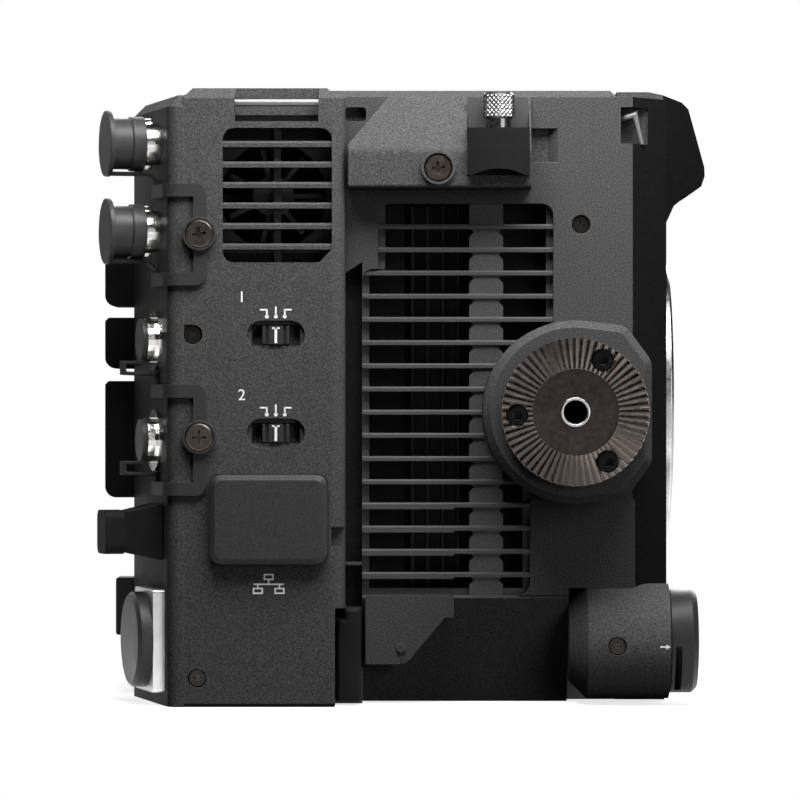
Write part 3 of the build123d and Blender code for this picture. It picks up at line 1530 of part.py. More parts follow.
# Tether brackets: a C on the side that wraps round the corner to the terminals
bend = Vector(slant_x, side_y, 0)
half_band = bracket_thickness / 2
band_corner = bend + (Vector(0, -1, 0) + terminal().z_dir) * (half_band / (1 + sin(radians(slant))))
band_end = terminal(half_band).from_local_coords((bracket_end, 0, 0))
with BuildPart() as tether_brackets:
    for (low, high), screw_height in zip(bracket_spans, bracket_screw_heights):
        with BuildSketch(side(side_y)):
            window(rear_plane, spine_right, low, high, bracket_corner)
            window(
                rear_plane - edge_break, spine_left, low + bracket_bar, high - bracket_bar, mode=Mode.SUBTRACT
            )
            with Locations((bracket_x, screw_height)):
                turned(boss_radius)
        extrude(amount=bracket_thickness)
        for bottom in (low, high - bracket_bar):
            with BuildSketch(Plane.XY.offset(bottom)):
                with BuildLine():
                    FilletPolyline(
                        (rear_plane + bracket_bar, side_y - half_band),
                        (band_corner.X, band_corner.Y),
                        (band_end.X, band_end.Y),
                        radius=corner_round + half_band,
                    )
                trace(line_width=bracket_thickness)
            extrude(amount=bracket_bar)
        with BuildSketch(side(side_y)):
            with Locations((bracket_x, screw_height)):
                turned(boss_radius)
        extrude(amount=boss_rise)
        with BuildSketch(side(side_y - boss_rise)):
            with Locations((bracket_x, screw_height)):
                turned(big_head_radius + fit_gap)
        extrude(amount=-(boss_rise - bracket_thickness), mode=Mode.SUBTRACT)
save(tether_brackets, "tether_brackets")

coax_strap_arms = (bracket_spans[0][1], bracket_spans[0][0] + bracket_bar)
for number, (height, arm) in enumerate(zip(coax_heights, coax_strap_arms), start=1):
    under = -coax_collar_diameter / 2 - fit_gap - strap_thickness / 2
    with BuildPart() as strap:
        with BuildSketch(strap_plane(height)):
            with BuildLine():
                Polyline(
                    (coax_cap_front - coax_disc_thickness, under),
                    (strap_width / 2, under),
                    (strap_thickness / 2, under - strap_thickness * 2),
                    (strap_thickness / 2, arm - height),
                )
            trace(line_width=strap_thickness)
        extrude(amount=strap_width)
    save(strap, f"bnc_strap_{number}")

audio_strap_arms = (bracket_spans[1][1], bracket_spans[1][0] + bracket_bar)
for number, (height, arm) in enumerate(zip(audio_heights, audio_strap_arms), start=1):
    tab = -audio_cap_diameter / 2 - strap_thickness / 2
    back = -audio_flange_diameter / 2 - strap_thickness
    with BuildPart() as strap:
        with BuildSketch(strap_plane(height)):
            with BuildLine():
                Polyline(
                    (audio_barrel_length + seat_gap + audio_cap_thickness, tab),
                    (strap_loop_reach, tab),
                    (strap_loop_reach, back + slide_gap),
                    (strap_thickness / 2, back),
                    (strap_thickness / 2, arm - height),
                )
            trace(line_width=strap_thickness)
        extrude(amount=strap_width)
    save(strap, f"xlr_strap_{number}")

# Covers over the rear sockets, each on a hinge line at its outer edge
for name, low, high in cover_spans:
    with BuildPart() as socket_cover:
        with BuildSketch(facing_rear(-rear_face)):
            window(-cover_inner, -cover_outer, low, high)
        extrude(amount=cover_thickness)
        rear_edges = socket_cover.faces().sort_by(Axis.X)[0].edges().filter_by(Axis.Y)
        fillet(rear_edges.sort_by(Axis.Z)[0], cover_round)
        chamfer(socket_cover.edges().filter_by(Axis.Y).sort_by(Axis.Z)[-1], edge_break)
    save(socket_cover, name)

with BuildPart() as rear_jacks:
    for low, high, width in rear_jack_places:
        with BuildSketch(facing_rear(-rear_face)):
            window(-cover_middle - width / 2, -cover_middle + width / 2, low, high)
        extrude(amount=-rear_jack_depth)
        with BuildSketch(facing_rear(-rear_face)):
            window(
                -cover_middle - width / 2 + rear_jack_wall,
                -cover_middle + width / 2 - rear_jack_wall,
                low + edge_break,
                high - edge_break,
            )
            window(
                -cover_middle - edge_break / 2,
                -cover_middle + edge_break / 2,
                low + 2 * edge_break,
                high - 2 * edge_break,
                mode=Mode.SUBTRACT,
            )
        extrude(amount=-rear_jack_depth + 2 * edge_break, mode=Mode.SUBTRACT)
save(rear_jacks, "rear_jacks")

with BuildPart() as battery_release:
    with BuildSketch(facing_rear(-rear_face)):
        window(-cover_inner, -cover_outer - 3.0, release_bottom, release_top)
    extrude(amount=release_rise)
    chamfer(battery_release.faces().sort_by(Axis.X)[0].edges(), edge_break / 2)
    with BuildSketch(facing_rear(-rear_face - release_rise)):
        with Locations((-cover_middle - 1.5, (release_bottom + release_top) / 2)):
            with GridLocations(0, 2.2, 1, release_grips):
                Rectangle(6.0, 1.0)
    extrude(amount=-edge_break, mode=Mode.SUBTRACT)
save(battery_release, "battery_release")

# Strap bar on top and bent strap rod at the front corner
with BuildPart() as strap_bars:
    with BuildSketch(Plane.YZ.offset(strap_left)):
        with Locations((side_y + strap_bar_setback, strap_floor + strap_bar_rise)):
            turned(strap_bar_diameter / 2, small_sides)
    extrude(amount=strap_right - strap_left)
    with BuildLine():
        Polyline(
            (lug_left, step_y + 2.4, lug_top - 2.4),
            (lug_left + 3.2, step_y + 1.0, lug_top - 1.6),
            (lug_right - 1.4, step_y + 3.0, lug_bottom),
        )
    with BuildSketch(Plane.YZ.offset(lug_left)):
        with Locations((step_y + 2.4, lug_top - 2.4)):
            turned(lug_rod_diameter / 2, 10)
    sweep(transition=Transition.RIGHT)
    with BuildSketch(side(step_y)):
        window(lug_left, lug_right + 1.0, lug_bottom - 3.0, lug_bottom)
    extrude(amount=-lug_depth, mode=Mode.SUBTRACT)
save(strap_bars, "strap_bars")

# Heads of the case screws
with BuildPart() as case_screws:
    big_places = [(side_y - bracket_thickness, (bracket_x, height)) for height in bracket_screw_heights]
    big_places += [(side_y - shelf_boss_rise + slide_gap + big_head_height, shelf_screw)]
    for seat_y, place in big_places:
        with BuildSketch(side(seat_y)):
            with Locations(place):
                turned(big_head_radius)
        extrude(amount=big_head_height)
    small_places = [(side_y, rear_low_screw), (side_y, rear_high_screw), (step_y, front_screw)]
    small_places += [(knob_y - knob_housing_radius, housing_screw)]
    for face_y, place in small_places:
        with BuildSketch(side(face_y + small_recess_depth)):
            with Locations(place):
                turned(small_head_radius, small_sides)
        extrude(amount=small_head_height)
save(case_screws, "case_screws")
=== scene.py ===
import json
import random
from math import cos, pi, radians, sin

import bmesh
import bpy
from mathutils import Matrix, Vector


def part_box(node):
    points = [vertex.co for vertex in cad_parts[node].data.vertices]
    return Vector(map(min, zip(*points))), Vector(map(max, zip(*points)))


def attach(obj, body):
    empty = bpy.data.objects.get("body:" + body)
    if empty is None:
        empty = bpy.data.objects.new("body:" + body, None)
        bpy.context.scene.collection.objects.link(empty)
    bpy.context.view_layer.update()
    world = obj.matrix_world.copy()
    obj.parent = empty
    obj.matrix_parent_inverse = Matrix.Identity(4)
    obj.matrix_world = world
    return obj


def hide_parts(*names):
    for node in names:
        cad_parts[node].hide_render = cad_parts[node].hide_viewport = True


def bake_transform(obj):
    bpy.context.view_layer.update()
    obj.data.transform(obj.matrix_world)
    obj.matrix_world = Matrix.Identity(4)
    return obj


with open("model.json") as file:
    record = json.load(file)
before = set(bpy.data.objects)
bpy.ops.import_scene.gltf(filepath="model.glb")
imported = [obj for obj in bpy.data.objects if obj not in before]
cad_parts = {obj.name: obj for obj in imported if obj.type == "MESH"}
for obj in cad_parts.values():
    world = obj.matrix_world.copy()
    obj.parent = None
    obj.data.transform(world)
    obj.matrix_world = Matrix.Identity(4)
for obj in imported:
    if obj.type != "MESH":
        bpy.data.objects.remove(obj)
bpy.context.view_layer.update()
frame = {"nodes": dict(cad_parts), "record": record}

# The scene is in metres; the extra pieces are built in millimetres and scaled as they are made
MM = 0.001
CAMERA = "camera"

# The photograph: 800 pixels wide, 4.6 pixels per millimetre on the rear side panel
CAMERA_DISTANCE = 950 * MM
PIXELS_PER_MM = 4.60
IMAGE_WIDTH = 800
SENSOR_WIDTH = 36.0
VIEW_HEIGHT = 66.8 * MM
NEAR_CLIP = 0.05

# Places on the body that the extra pieces sit on, in millimetres
SIDE_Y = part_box("right_rear_panel")[0][1] / MM
ROSETTE_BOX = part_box("rosette")
ROSETTE_X = (ROSETTE_BOX[0][0] + ROSETTE_BOX[1][0]) / 2 / MM
ROSETTE_Z = (ROSETTE_BOX[0][2] + ROSETTE_BOX[1][2]) / 2 / MM


def middle(node):
    low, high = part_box(node)
    return (Vector(low) + Vector(high)) / 2 / MM


def corners_of(node):
    """Lowest and highest corner of a CAD node."""
    return [Vector(corner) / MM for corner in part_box(node)]


def new_object(name, data):
    made = bpy.data.objects.new(name, data)
    bpy.context.scene.collection.objects.link(made)
    return made


# Materials: parts that they share
FINE_LIMITS = (0.35, 0.65)
BROAD_LIMITS = (0.3, 0.7)
DUST_LIMITS = (0.35, 0.75)
# Cosine of the angle between a face and its bevelled normal, where the painted edge highlight
# begins and where it is full
HIGHLIGHT_BEGINS, HIGHLIGHT_FULL = 0.99, 0.8
BEVEL_SAMPLES = 4


def new_material(name):
    material = bpy.data.materials.new(name)
    material.use_nodes = True
    tree = material.node_tree
    return material, tree, tree.nodes["Principled BSDF"]


def noise(tree, scale, detail, roughness, stretch=(1, 1, 1)):
    """Noise in the object's own metres, stretched along the axes where asked."""
    coords = tree.nodes.new("ShaderNodeTexCoord")
    mapping = tree.nodes.new("ShaderNodeMapping")
    mapping.inputs["Scale"].default_value = stretch
    texture = tree.nodes.new("ShaderNodeTexNoise")
    texture.inputs["Scale"].default_value = scale
    texture.inputs["Detail"].default_value = detail
    texture.inputs["Roughness"].default_value = roughness
    tree.links.new(coords.outputs["Object"], mapping.inputs["Vector"])
    tree.links.new(mapping.outputs["Vector"], texture.inputs["Vector"])
    return texture.outputs["Fac"]


def tint(tree, value, limits, colour, variation):
    """The colour, from darker to lighter by the variation as the value goes through its limits."""
    node = tree.nodes.new("ShaderNodeValToRGB")
    for element, position, factor in zip((0, 1), limits, (1 - variation, 1 + variation)):
        node.color_ramp.elements[element].position = position
        node.color_ramp.elements[element].color = (*[min(1, c * factor) for c in colour], 1)
    tree.links.new(value, node.inputs["Fac"])
    return node.outputs["Color"]


def remap(tree, value, source, target):
    """The value mapped from one range to another."""
    node = tree.nodes.new("ShaderNodeMapRange")
    node.inputs["From Min"].default_value, node.inputs["From Max"].default_value = source
    node.inputs["To Min"].default_value, node.inputs["To Max"].default_value = target
    tree.links.new(value, node.inputs["Value"])
    return node.outputs["Result"]


def bump(tree, shader, value, height, strength):
    node = tree.nodes.new("ShaderNodeBump")
    node.inputs["Distance"].default_value = height * MM
    node.inputs["Strength"].default_value = strength
    tree.links.new(value, node.inputs["Height"])
    tree.links.new(node.outputs["Normal"], shader.inputs["Normal"])


def worn_edges(tree, colour, lighter, most, radius):
    """A painted highlight: a lighter line along the edges, where light catches them."""
    bevelled = tree.nodes.new("ShaderNodeBevel")
    bevelled.samples = BEVEL_SAMPLES
    bevelled.inputs["Radius"].default_value = radius * MM
    geometry = tree.nodes.new("ShaderNodeNewGeometry")
    product = tree.nodes.new("ShaderNodeVectorMath")
    product.operation = "DOT_PRODUCT"
    tree.links.new(bevelled.outputs["Normal"], product.inputs[0])
    tree.links.new(geometry.outputs["Normal"], product.inputs[1])
    mix = tree.nodes.new("ShaderNodeMix")
    mix.data_type = "RGBA"
    edge_light_share = remap(tree, product.outputs["Value"], (HIGHLIGHT_BEGINS, HIGHLIGHT_FULL), (0.0, most))
    tree.links.new(edge_light_share, mix.inputs["Factor"])
    tree.links.new(colour, mix.inputs["A"])
    mix.inputs["B"].default_value = (*lighter, 1)
    return mix.outputs["Result"]


def textured_paint(name, colour, grain, grain_size, roughness, specular, variation):
    """Paint or moulded plastic with a fine, sharp grain."""
    material, tree, shader = new_material(name)
    fine = noise(tree, scale=1 / (grain_size * MM), detail=2.0, roughness=0.6)
    broad = noise(tree, scale=60.0, detail=3.0, roughness=0.5)
    base = tint(tree, fine, FINE_LIMITS, colour, variation)
    # Painted highlight: every paint turns lighter along its edges
    edge_light = tuple(min(1, c * 1.9) for c in colour)
    base = worn_edges(tree, base, edge_light, most=0.45, radius=0.25)
    gloss = remap(tree, broad, BROAD_LIMITS, (roughness - 0.05, roughness + 0.05))
    tree.links.new(base, shader.inputs["Base Color"])
    tree.links.new(gloss, shader.inputs["Roughness"])
    shader.inputs["Specular IOR Level"].default_value = specular
    bump(tree, shader, fine, grain, strength=1.0)
    return material


def brushed_metal(name, colour, roughness, streak, depth, edge):
    """Machined or plated metal with fine tool marks, and a painted highlight on its edges where
    asked.
    """
    material, tree, shader = new_material(name)
    marks = noise(tree, scale=900.0, detail=4.0, roughness=0.6, stretch=streak)
    stain = noise(tree, scale=140.0, detail=3.0, roughness=0.5)
    base = tint(tree, stain, BROAD_LIMITS, colour, variation=0.12)
    if edge:
        base = worn_edges(tree, base, edge, most=0.9, radius=0.12)
    gloss = remap(tree, marks, BROAD_LIMITS, (roughness - 0.06, roughness + 0.1))
    tree.links.new(base, shader.inputs["Base Color"])
    tree.links.new(gloss, shader.inputs["Roughness"])
    shader.inputs["Metallic"].default_value = 1.0
    bump(tree, shader, marks, depth, strength=0.6)
    return material


def soft_rubber(name, colour):
    material, tree, shader = new_material(name)
    fine = noise(tree, scale=5200.0, detail=2.0, roughness=0.5)
    dust = noise(tree, scale=220.0, detail=5.0, roughness=0.7)
    base = tint(tree, dust, DUST_LIMITS, colour, variation=0.2)
    gloss = remap(tree, fine, BROAD_LIMITS, (0.55, 0.75))
    tree.links.new(base, shader.inputs["Base Color"])
    tree.links.new(gloss, shader.inputs["Roughness"])
    shader.inputs["Specular IOR Level"].default_value = 0.06
    bump(tree, shader, fine, height=0.015, strength=0.8)
    return material


def coated_glass(name, colour, roughness, transmission):
    material, tree, shader = new_material(name)
    bloom = noise(tree, scale=90.0, detail=2.0, roughness=0.5)
    base = tint(tree, bloom, FINE_LIMITS, colour, variation=0.25)
    gloss = remap(tree, bloom, BROAD_LIMITS, (roughness, roughness + 0.04))
    tree.links.new(base, shader.inputs["Base Color"])
    tree.links.new(gloss, shader.inputs["Roughness"])
    shader.inputs["Transmission Weight"].default_value = transmission
    shader.inputs["Coat Weight"].default_value = 0.6
    shader.inputs["Coat Roughness"].default_value = 0.03
    return material


def printed(name, colour):
    """Silk-screened ink with a slightly uneven coat."""
    material, tree, shader = new_material(name)
    coat = noise(tree, scale=3000.0, detail=3.0, roughness=0.6)
    base = tint(tree, coat, BROAD_LIMITS, colour, variation=0.06)
    tree.links.new(base, shader.inputs["Base Color"])
    shader.inputs["Roughness"].default_value = 0.5
    shader.inputs["Specular IOR Level"].default_value = 0.2
    bump(tree, shader, coat, height=0.004, strength=0.5)
    return material


# Materials by name
CHARCOAL = (0.052, 0.052, 0.053)
# Colours of the painted highlight on metal edges
STEEL_HIGHLIGHT = (0.55, 0.53, 0.5)
BRONZE_HIGHLIGHT = (0.3, 0.25, 0.22)
EVEN = (1, 1, 1)

# Colour, depth of the grain, its size, roughness, specular level, variation of the colour
PAINTS = {
    # Near-black, painted shade where the chassis shows in the channel and the vents
    "core": ((0.01, 0.01, 0.0105), 0.03, 0.3, 0.6, 0.05, 0.4),
    "shell": (CHARCOAL, 0.09, 0.3, 0.6, 0.0, 0.4),
    "vent_black": ((0.048, 0.048, 0.049), 0.05, 0.3, 0.6, 0.14, 0.2),
    "dark_plastic": ((0.024, 0.024, 0.025), 0.02, 0.3, 0.45, 0.16, 0.2),
    "cover_plastic": ((0.03, 0.03, 0.031), 0.045, 0.3, 0.5, 0.14, 0.3),
    "cap_plastic": ((0.03, 0.03, 0.031), 0.035, 0.3, 0.4, 0.2, 0.2),
    "deep_black": ((0.012, 0.012, 0.0125), 0.02, 0.3, 0.55, 0.0, 0.2),
    # A darker copy of the body paint, painted shade on the front cover's faces turned away from the
    # lamps
    "front_shaded_black": ((0.009, 0.009, 0.0093), 0.07, 0.3, 0.55, 0.0, 0.4),
    "plate_grey": ((0.05, 0.05, 0.05), 0.03, 0.25, 0.5, 0.1, 0.2),
    "bracket_paint": ((0.028, 0.028, 0.0285), 0.03, 0.3, 0.5, 0.12, 0.3),
    # A lighter copy of the body paint, painted light on the knob housing
    "housing_lit_paint": ((0.075, 0.075, 0.076), 0.09, 0.3, 0.6, 0.0, 0.4),
    "rear_paint": ((0.034, 0.034, 0.035), 0.05, 0.3, 0.55, 0.04, 0.3),
}
# Colour, roughness, stretch of the tool marks, their depth, colour of the painted highlight on the
# edges
METALS = {
    "base_metal": ((0.06, 0.06, 0.062), 0.45, (30, 1, 1), 0.004, None),
    "mount_steel": ((0.5, 0.5, 0.505), 0.3, EVEN, 0.0008, None),
    "nickel": ((0.72, 0.71, 0.69), 0.16, (1, 1, 12), 0.004, None),
    "flange_metal": ((0.5, 0.5, 0.505), 0.38, EVEN, 0.01, None),
    "jack_metal": ((0.5, 0.5, 0.5), 0.3, EVEN, 0.004, None),
    "sink_metal": ((0.02, 0.02, 0.02), 0.55, (1, 1, 8), 0.004, None),
    "rosette_metal": ((0.06, 0.05, 0.045), 0.32, EVEN, 0.006, STEEL_HIGHLIGHT),
    "black_steel": ((0.035, 0.035, 0.036), 0.3, EVEN, 0.004, None),
    "bronze_steel": ((0.1, 0.078, 0.068), 0.34, EVEN, 0.003, BRONZE_HIGHLIGHT),
    "teeth_steel": ((0.3, 0.27, 0.25), 0.17, EVEN, 0.001, None),
    # Near-black, painted shade of the counterbores round the rosette's screws
    "socket_black": ((0.012, 0.012, 0.0125), 0.35, EVEN, 0.003, None),
    "screw_black": ((0.03, 0.029, 0.028), 0.34, EVEN, 0.003, BRONZE_HIGHLIGHT),
    "dull_steel": ((0.2, 0.2, 0.2), 0.4, EVEN, 0.003, None),
    "knurl_steel": ((0.17, 0.17, 0.17), 0.24, EVEN, 0.001, None),
}
# The straps take a lighter copy of the rubber: painted light on the straps
RUBBERS = {"rubber": (0.01, 0.01, 0.0104), "strap_lit_rubber": (0.03, 0.03, 0.0305)}
# Colour, roughness, transmission
GLASSES = {
    "sensor_glass": ((0.02, 0.03, 0.035), 0.04, 0.0),
    "filter_glass": ((0.12, 0.12, 0.12), 0.02, 0.6),
}
materials = {name: textured_paint(name, *look) for name, look in PAINTS.items()}
materials |= {name: brushed_metal(name, *look) for name, look in METALS.items()}
materials |= {name: soft_rubber(name, colour) for name, colour in RUBBERS.items()}
materials |= {name: coated_glass(name, *look) for name, look in GLASSES.items()}
materials["white_ink"] = printed("white_ink", (0.75, 0.75, 0.75))


# The nodes of the model: rounded edges and their materials
BEVEL_WIDTH = 0.15
BEVEL_WIDTHS = {
    "shell": 0.35,
    "cover_plastic": 0.5,
    "rubber": 0.4,
    "cap_plastic": 0.35,
    "vent_black": 0.2,
}
BEVEL_SEGMENTS, BEVEL_ANGLE = 2, 28.0
WELD_DISTANCE = 0.002
SHARP_NODES = ("rosette", "strap_bars", "sensor_package", "nd_glass", "xlr_connectors")
REPAINTED = {
    "rear_panel": "rear_paint",
    # Painted shade: the front cover takes the darker copy of the body paint
    "front_cover": "front_shaded_black",
    # Painted shade: the rosette's screws take a near-black that stands in for their counterbores'
    # shade
    "rosette_screws": "socket_black",
    "strap_bars": "dull_steel",
    "tether_brackets": "bracket_paint",
    # Painted light: the knob housing takes a lighter copy of the body paint
    "knob_housing": "housing_lit_paint",
    "video_clamp": "deep_black",
}
# How far a face's normal points to the side, for faces that lie in it, turn to it and slope in it
FLAT_SIDE, CORNER_SIDE, TOOTH_SIDE = 0.98, 0.5, 0.2


def round_edges(piece, width, segments=BEVEL_SEGMENTS, angle=BEVEL_ANGLE):
    weld = piece.modifiers.new("weld", "WELD")
    weld.merge_threshold = WELD_DISTANCE * MM
    bevel = piece.modifiers.new("rounded", "BEVEL")
    bevel.width = width * MM
    bevel.segments = segments
    bevel.limit_method = "ANGLE"
    bevel.angle_limit = radians(angle)
    bevel.use_clamp_overlap = True
    bevel.harden_normals = False
    normals = piece.modifiers.new("normals", "WEIGHTED_NORMAL")
    normals.keep_sharp = True


def dress(piece, slot, look=None):
    piece.data.materials.clear()
    piece.data.materials.append(materials[look or slot])


def repaint_faces(node, look, chosen):
    data = frame["nodes"][node].data
    data.materials.append(materials[look])
    for face in data.polygons:
        if chosen(face.normal.y):
            face.material_index = 1


for part in frame["record"]["subparts"]:
    piece = frame["nodes"][part["node"]]
    dress(piece, part["material_slot"], REPAINTED.get(part["node"]))
    for face in piece.data.polygons:
        face.use_smooth = True
    if part["node"] not in SHARP_NODES:
        round_edges(piece, BEVEL_WIDTHS.get(part["material_slot"], BEVEL_WIDTH))

# The covers' sides are painted as the panels beside them, and the rosette's teeth are bare steel;
# the rest of the front cover keeps a darker copy of the body paint, painted shade on its faces
# turned away from the lamps
repaint_faces("front_cover", "shell", lambda side: side < -FLAT_SIDE)
repaint_faces("rear_panel", "shell", lambda side: side < -CORNER_SIDE)
repaint_faces("rosette", "teeth_steel", lambda side: TOOTH_SIDE < abs(side) < FLAT_SIDE)


# Helpers for the extra pieces
def mesh_data(name, mesh):
    """The mesh as a data block in metres."""
    data = bpy.data.meshes.new(name)
    mesh.to_mesh(data)
    mesh.free()
    data.transform(Matrix.Scale(MM, 4))
    return data


def add_mesh(name, mesh, slot, body=CAMERA, look=None, smooth=True):
    bmesh.ops.recalc_face_normals(mesh, faces=mesh.faces)
    mesh.normal_update()
    data = mesh_data(name, mesh)
    if smooth:
        for face in data.polygons:
            face.use_smooth = True
    piece = new_object(name, data)
    data.materials.append(materials[look or slot])
    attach(piece, body)
    return piece


def circle(sides, radius):
    turns = [2 * pi * i / sides for i in range(sides)]
    return [(radius * cos(turn), radius * sin(turn)) for turn in turns]


def prism(mesh, outline, thickness):
    """Closed slab between a loop of points and the same loop moved by a vector."""
    low = [mesh.verts.new(p) for p in outline]
    high = [mesh.verts.new(Vector(p) + Vector(thickness)) for p in outline]
    mesh.faces.new(low)
    mesh.faces.new(list(reversed(high)))
    for i in range(len(low)):
        j = (i + 1) % len(low)
        mesh.faces.new((low[i], high[i], high[j], low[j]))


def skin(mesh, rings):
    """Quads between each ring of corners and the next."""
    for low, high in zip(rings, rings[1:]):
        for i in range(len(low)):
            j = (i + 1) % len(low)
            mesh.faces.new((low[i], low[j], high[j], high[i]))


def cap_ends(mesh, rings):
    mesh.faces.new(rings[0])
    mesh.faces.new(rings[-1])


# Printed marks: flat prisms on faces that look to -Y
PRINT_RISE = 0.03
DOT_SIDES = 20


def side_bar(mesh, x0, z0, x1, z1, y=SIDE_Y):
    outline = [(x0, y, z0), (x1, y, z0), (x1, y, z1), (x0, y, z1)]
    prism(mesh, outline, (0, -PRINT_RISE, 0))


def side_dot(mesh, x, z, radius):
    outline = [(x + u, SIDE_Y, z + v) for u, v in circle(DOT_SIDES, radius)]
    prism(mesh, outline, (0, -PRINT_RISE, 0))


def print_mark(name, mesh, slot="shell", body=CAMERA):
    add_mesh(name, mesh, slot, body, "white_ink", smooth=False)


# Index marks and numerals over the two input switches
INDEX_LINE = 0.35
INDEX_GAP = 1.95
INDEX_FOOT = 4.2
INDEX_TALL, INDEX_SHORT = 2.0, 1.5
INDEX_ARM = 1.5
INDEX_DOT, DOT_DROP = 0.42, 0.15
NUMERAL_SIZE = 3.4
NUMERAL_LEFT, NUMERAL_UP = 7.4, 8.2
SLIDER_LINE, SLIDER_HALF_WIDTH, SLIDER_HALF_HEIGHT = 0.56, 0.8, 1.7
SLIDER_BAR_FOOT = 1.35


def switch_marks(number):
    centre = middle(f"input_switch_{number}")
    foot = centre.z + INDEX_FOOT
    mesh = bmesh.new()
    for shift in (-1, 0, 1):
        x = centre.x + shift * INDEX_GAP
        top = foot + (INDEX_SHORT if shift else INDEX_TALL)
        side_bar(mesh, x - INDEX_LINE / 2, foot, x + INDEX_LINE / 2, top)
        side_dot(mesh, x, foot - DOT_DROP, INDEX_DOT)
        if shift:
            low, high = sorted((x, x + shift * INDEX_ARM))
            side_bar(mesh, low, top - INDEX_LINE, high, top)
    print_mark(f"switch_marks_{number}", mesh)


def slider_mark(number):
    """White T on the slider of an input switch."""
    centre = middle(f"input_switch_{number}")
    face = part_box(f"input_switch_{number}")[0][1] / MM
    half, tall = SLIDER_LINE / 2, SLIDER_HALF_HEIGHT
    mesh = bmesh.new()
    side_bar(mesh, centre.x - half, centre.z - tall, centre.x + half, centre.z + tall, face)
    left, right = centre.x - SLIDER_HALF_WIDTH, centre.x + SLIDER_HALF_WIDTH
    side_bar(mesh, left, centre.z + SLIDER_BAR_FOOT, right, centre.z + tall, face)
    print_mark(f"slider_mark_{number}", mesh, "dark_plastic", f"switch_{number}")


def numeral(text, name, x, z):
    curve = bpy.data.curves.new(name, "FONT")
    curve.body = text
    curve.size = NUMERAL_SIZE * MM
    curve.extrude = PRINT_RISE * MM / 2
    curve.align_x = "CENTER"
    curve.align_y = "CENTER"
    source = new_object(name + "_text", curve)
    bpy.context.view_layer.update()
    graph = bpy.context.evaluated_depsgraph_get()
    data = bpy.data.meshes.new_from_object(source.evaluated_get(graph))
    bpy.data.objects.remove(source)
    place = Matrix.Translation((x * MM, (SIDE_Y - PRINT_RISE / 2) * MM, z * MM))
    data.transform(place @ Matrix.Rotation(pi / 2, 4, "X"))
    piece = new_object(name, data)
    dress(piece, "shell", "white_ink")
    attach(piece, CAMERA)


for switch in (1, 2):
    switch_marks(switch)
    slider_mark(switch)
    knob = middle(f"input_switch_{switch}")
    name = f"switch_numeral_{switch}"
    numeral(str(switch), name, knob.x - NUMERAL_LEFT, knob.z + NUMERAL_UP)


# Network sign under its cover: three boxes on a branched line
SIGN_LINE = 0.32
SIGN_BOX_WIDTH, SIGN_BOX_HEIGHT = 2.2, 1.35
SIGN_HALF_WIDTH = 3.3
SIGN_UNDER_COVER = 2.1
SIGN_TRUNK, SIGN_TWIG = 0.75, 0.6
SIGN_BOX_OUT = 0.15


def sign_box(mesh, x, top):
    """Outline of a box from its middle and its top."""
    left, right = x - SIGN_BOX_WIDTH / 2, x + SIGN_BOX_WIDTH / 2
    foot = top - SIGN_BOX_HEIGHT
    side_bar(mesh, left, top - SIGN_LINE, right, top)
    side_bar(mesh, left, foot, right, foot + SIGN_LINE)
    for flank in (-1, 1):
        edge = x + flank * (SIGN_BOX_WIDTH - SIGN_LINE) / 2
        low, high = foot + SIGN_LINE, top - SIGN_LINE
        side_bar(mesh, edge - SIGN_LINE / 2, low, edge + SIGN_LINE / 2, high)


def network_sign():
    low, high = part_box("ethernet_cover")
    x = (low[0] + high[0]) / 2 / MM
    top = low[2] / MM - SIGN_UNDER_COVER
    foot = top - SIGN_BOX_HEIGHT
    branch = foot - SIGN_TRUNK
    line_foot = branch - SIGN_LINE
    mesh = bmesh.new()
    sign_box(mesh, x, top)
    side_bar(mesh, x - SIGN_LINE / 2, branch, x + SIGN_LINE / 2, foot)
    side_bar(mesh, x - SIGN_HALF_WIDTH, line_foot, x + SIGN_HALF_WIDTH, branch)
    for flank in (-1, 1):
        twig = x + flank * (SIGN_HALF_WIDTH - SIGN_BOX_WIDTH / 2 + SIGN_BOX_OUT)
        twig_foot = line_foot - SIGN_TWIG
        sign_box(mesh, twig, twig_foot)
        side_bar(mesh, twig - SIGN_LINE / 2, twig_foot, twig + SIGN_LINE / 2, line_foot)
    print_mark("network_sign", mesh)


network_sign()


# Screw heads with a cross recess, each turned its own way; sizes are shares of the radius
SCREW_SIDES = 48
SMALL_SCREW = 2.4
SCREW_SEED, LARGEST_TURN = 7, 0.2
CROSS_ARM, CROSS_HALF, CROSS_DEPTH, CROSS_TAPER = 0.5, 0.1, 0.35, 0.6
CROWN, RIM_DROP = 0.9, 0.1
SAME_POINT = 0.001


def lumps(node):
    """(lowest corner, highest corner) of each separate lump of a CAD node."""
    mesh = bmesh.new()
    mesh.from_mesh(frame["nodes"][node].data)
    bmesh.ops.remove_doubles(mesh, verts=mesh.verts, dist=SAME_POINT * MM)
    left = set(mesh.verts)
    found = []
    while left:
        lump, edge = set(), {left.pop()}
        while edge:
            lump |= edge
            edge = {e.other_vert(v) for v in edge for e in v.link_edges} - lump
        left -= lump
        corners = [[v.co[axis] / MM for v in lump] for axis in range(3)]
        low, high = [Vector([limit(c) for c in corners]) for limit in (min, max)]
        found.append((low, high))
    mesh.free()
    return sorted(found, key=lambda lump: tuple(lump[0]))


def loop_edges(mesh, loop):
    return [mesh.edges.get(pair) for pair in zip(loop, loop[1:] + loop[:1])]


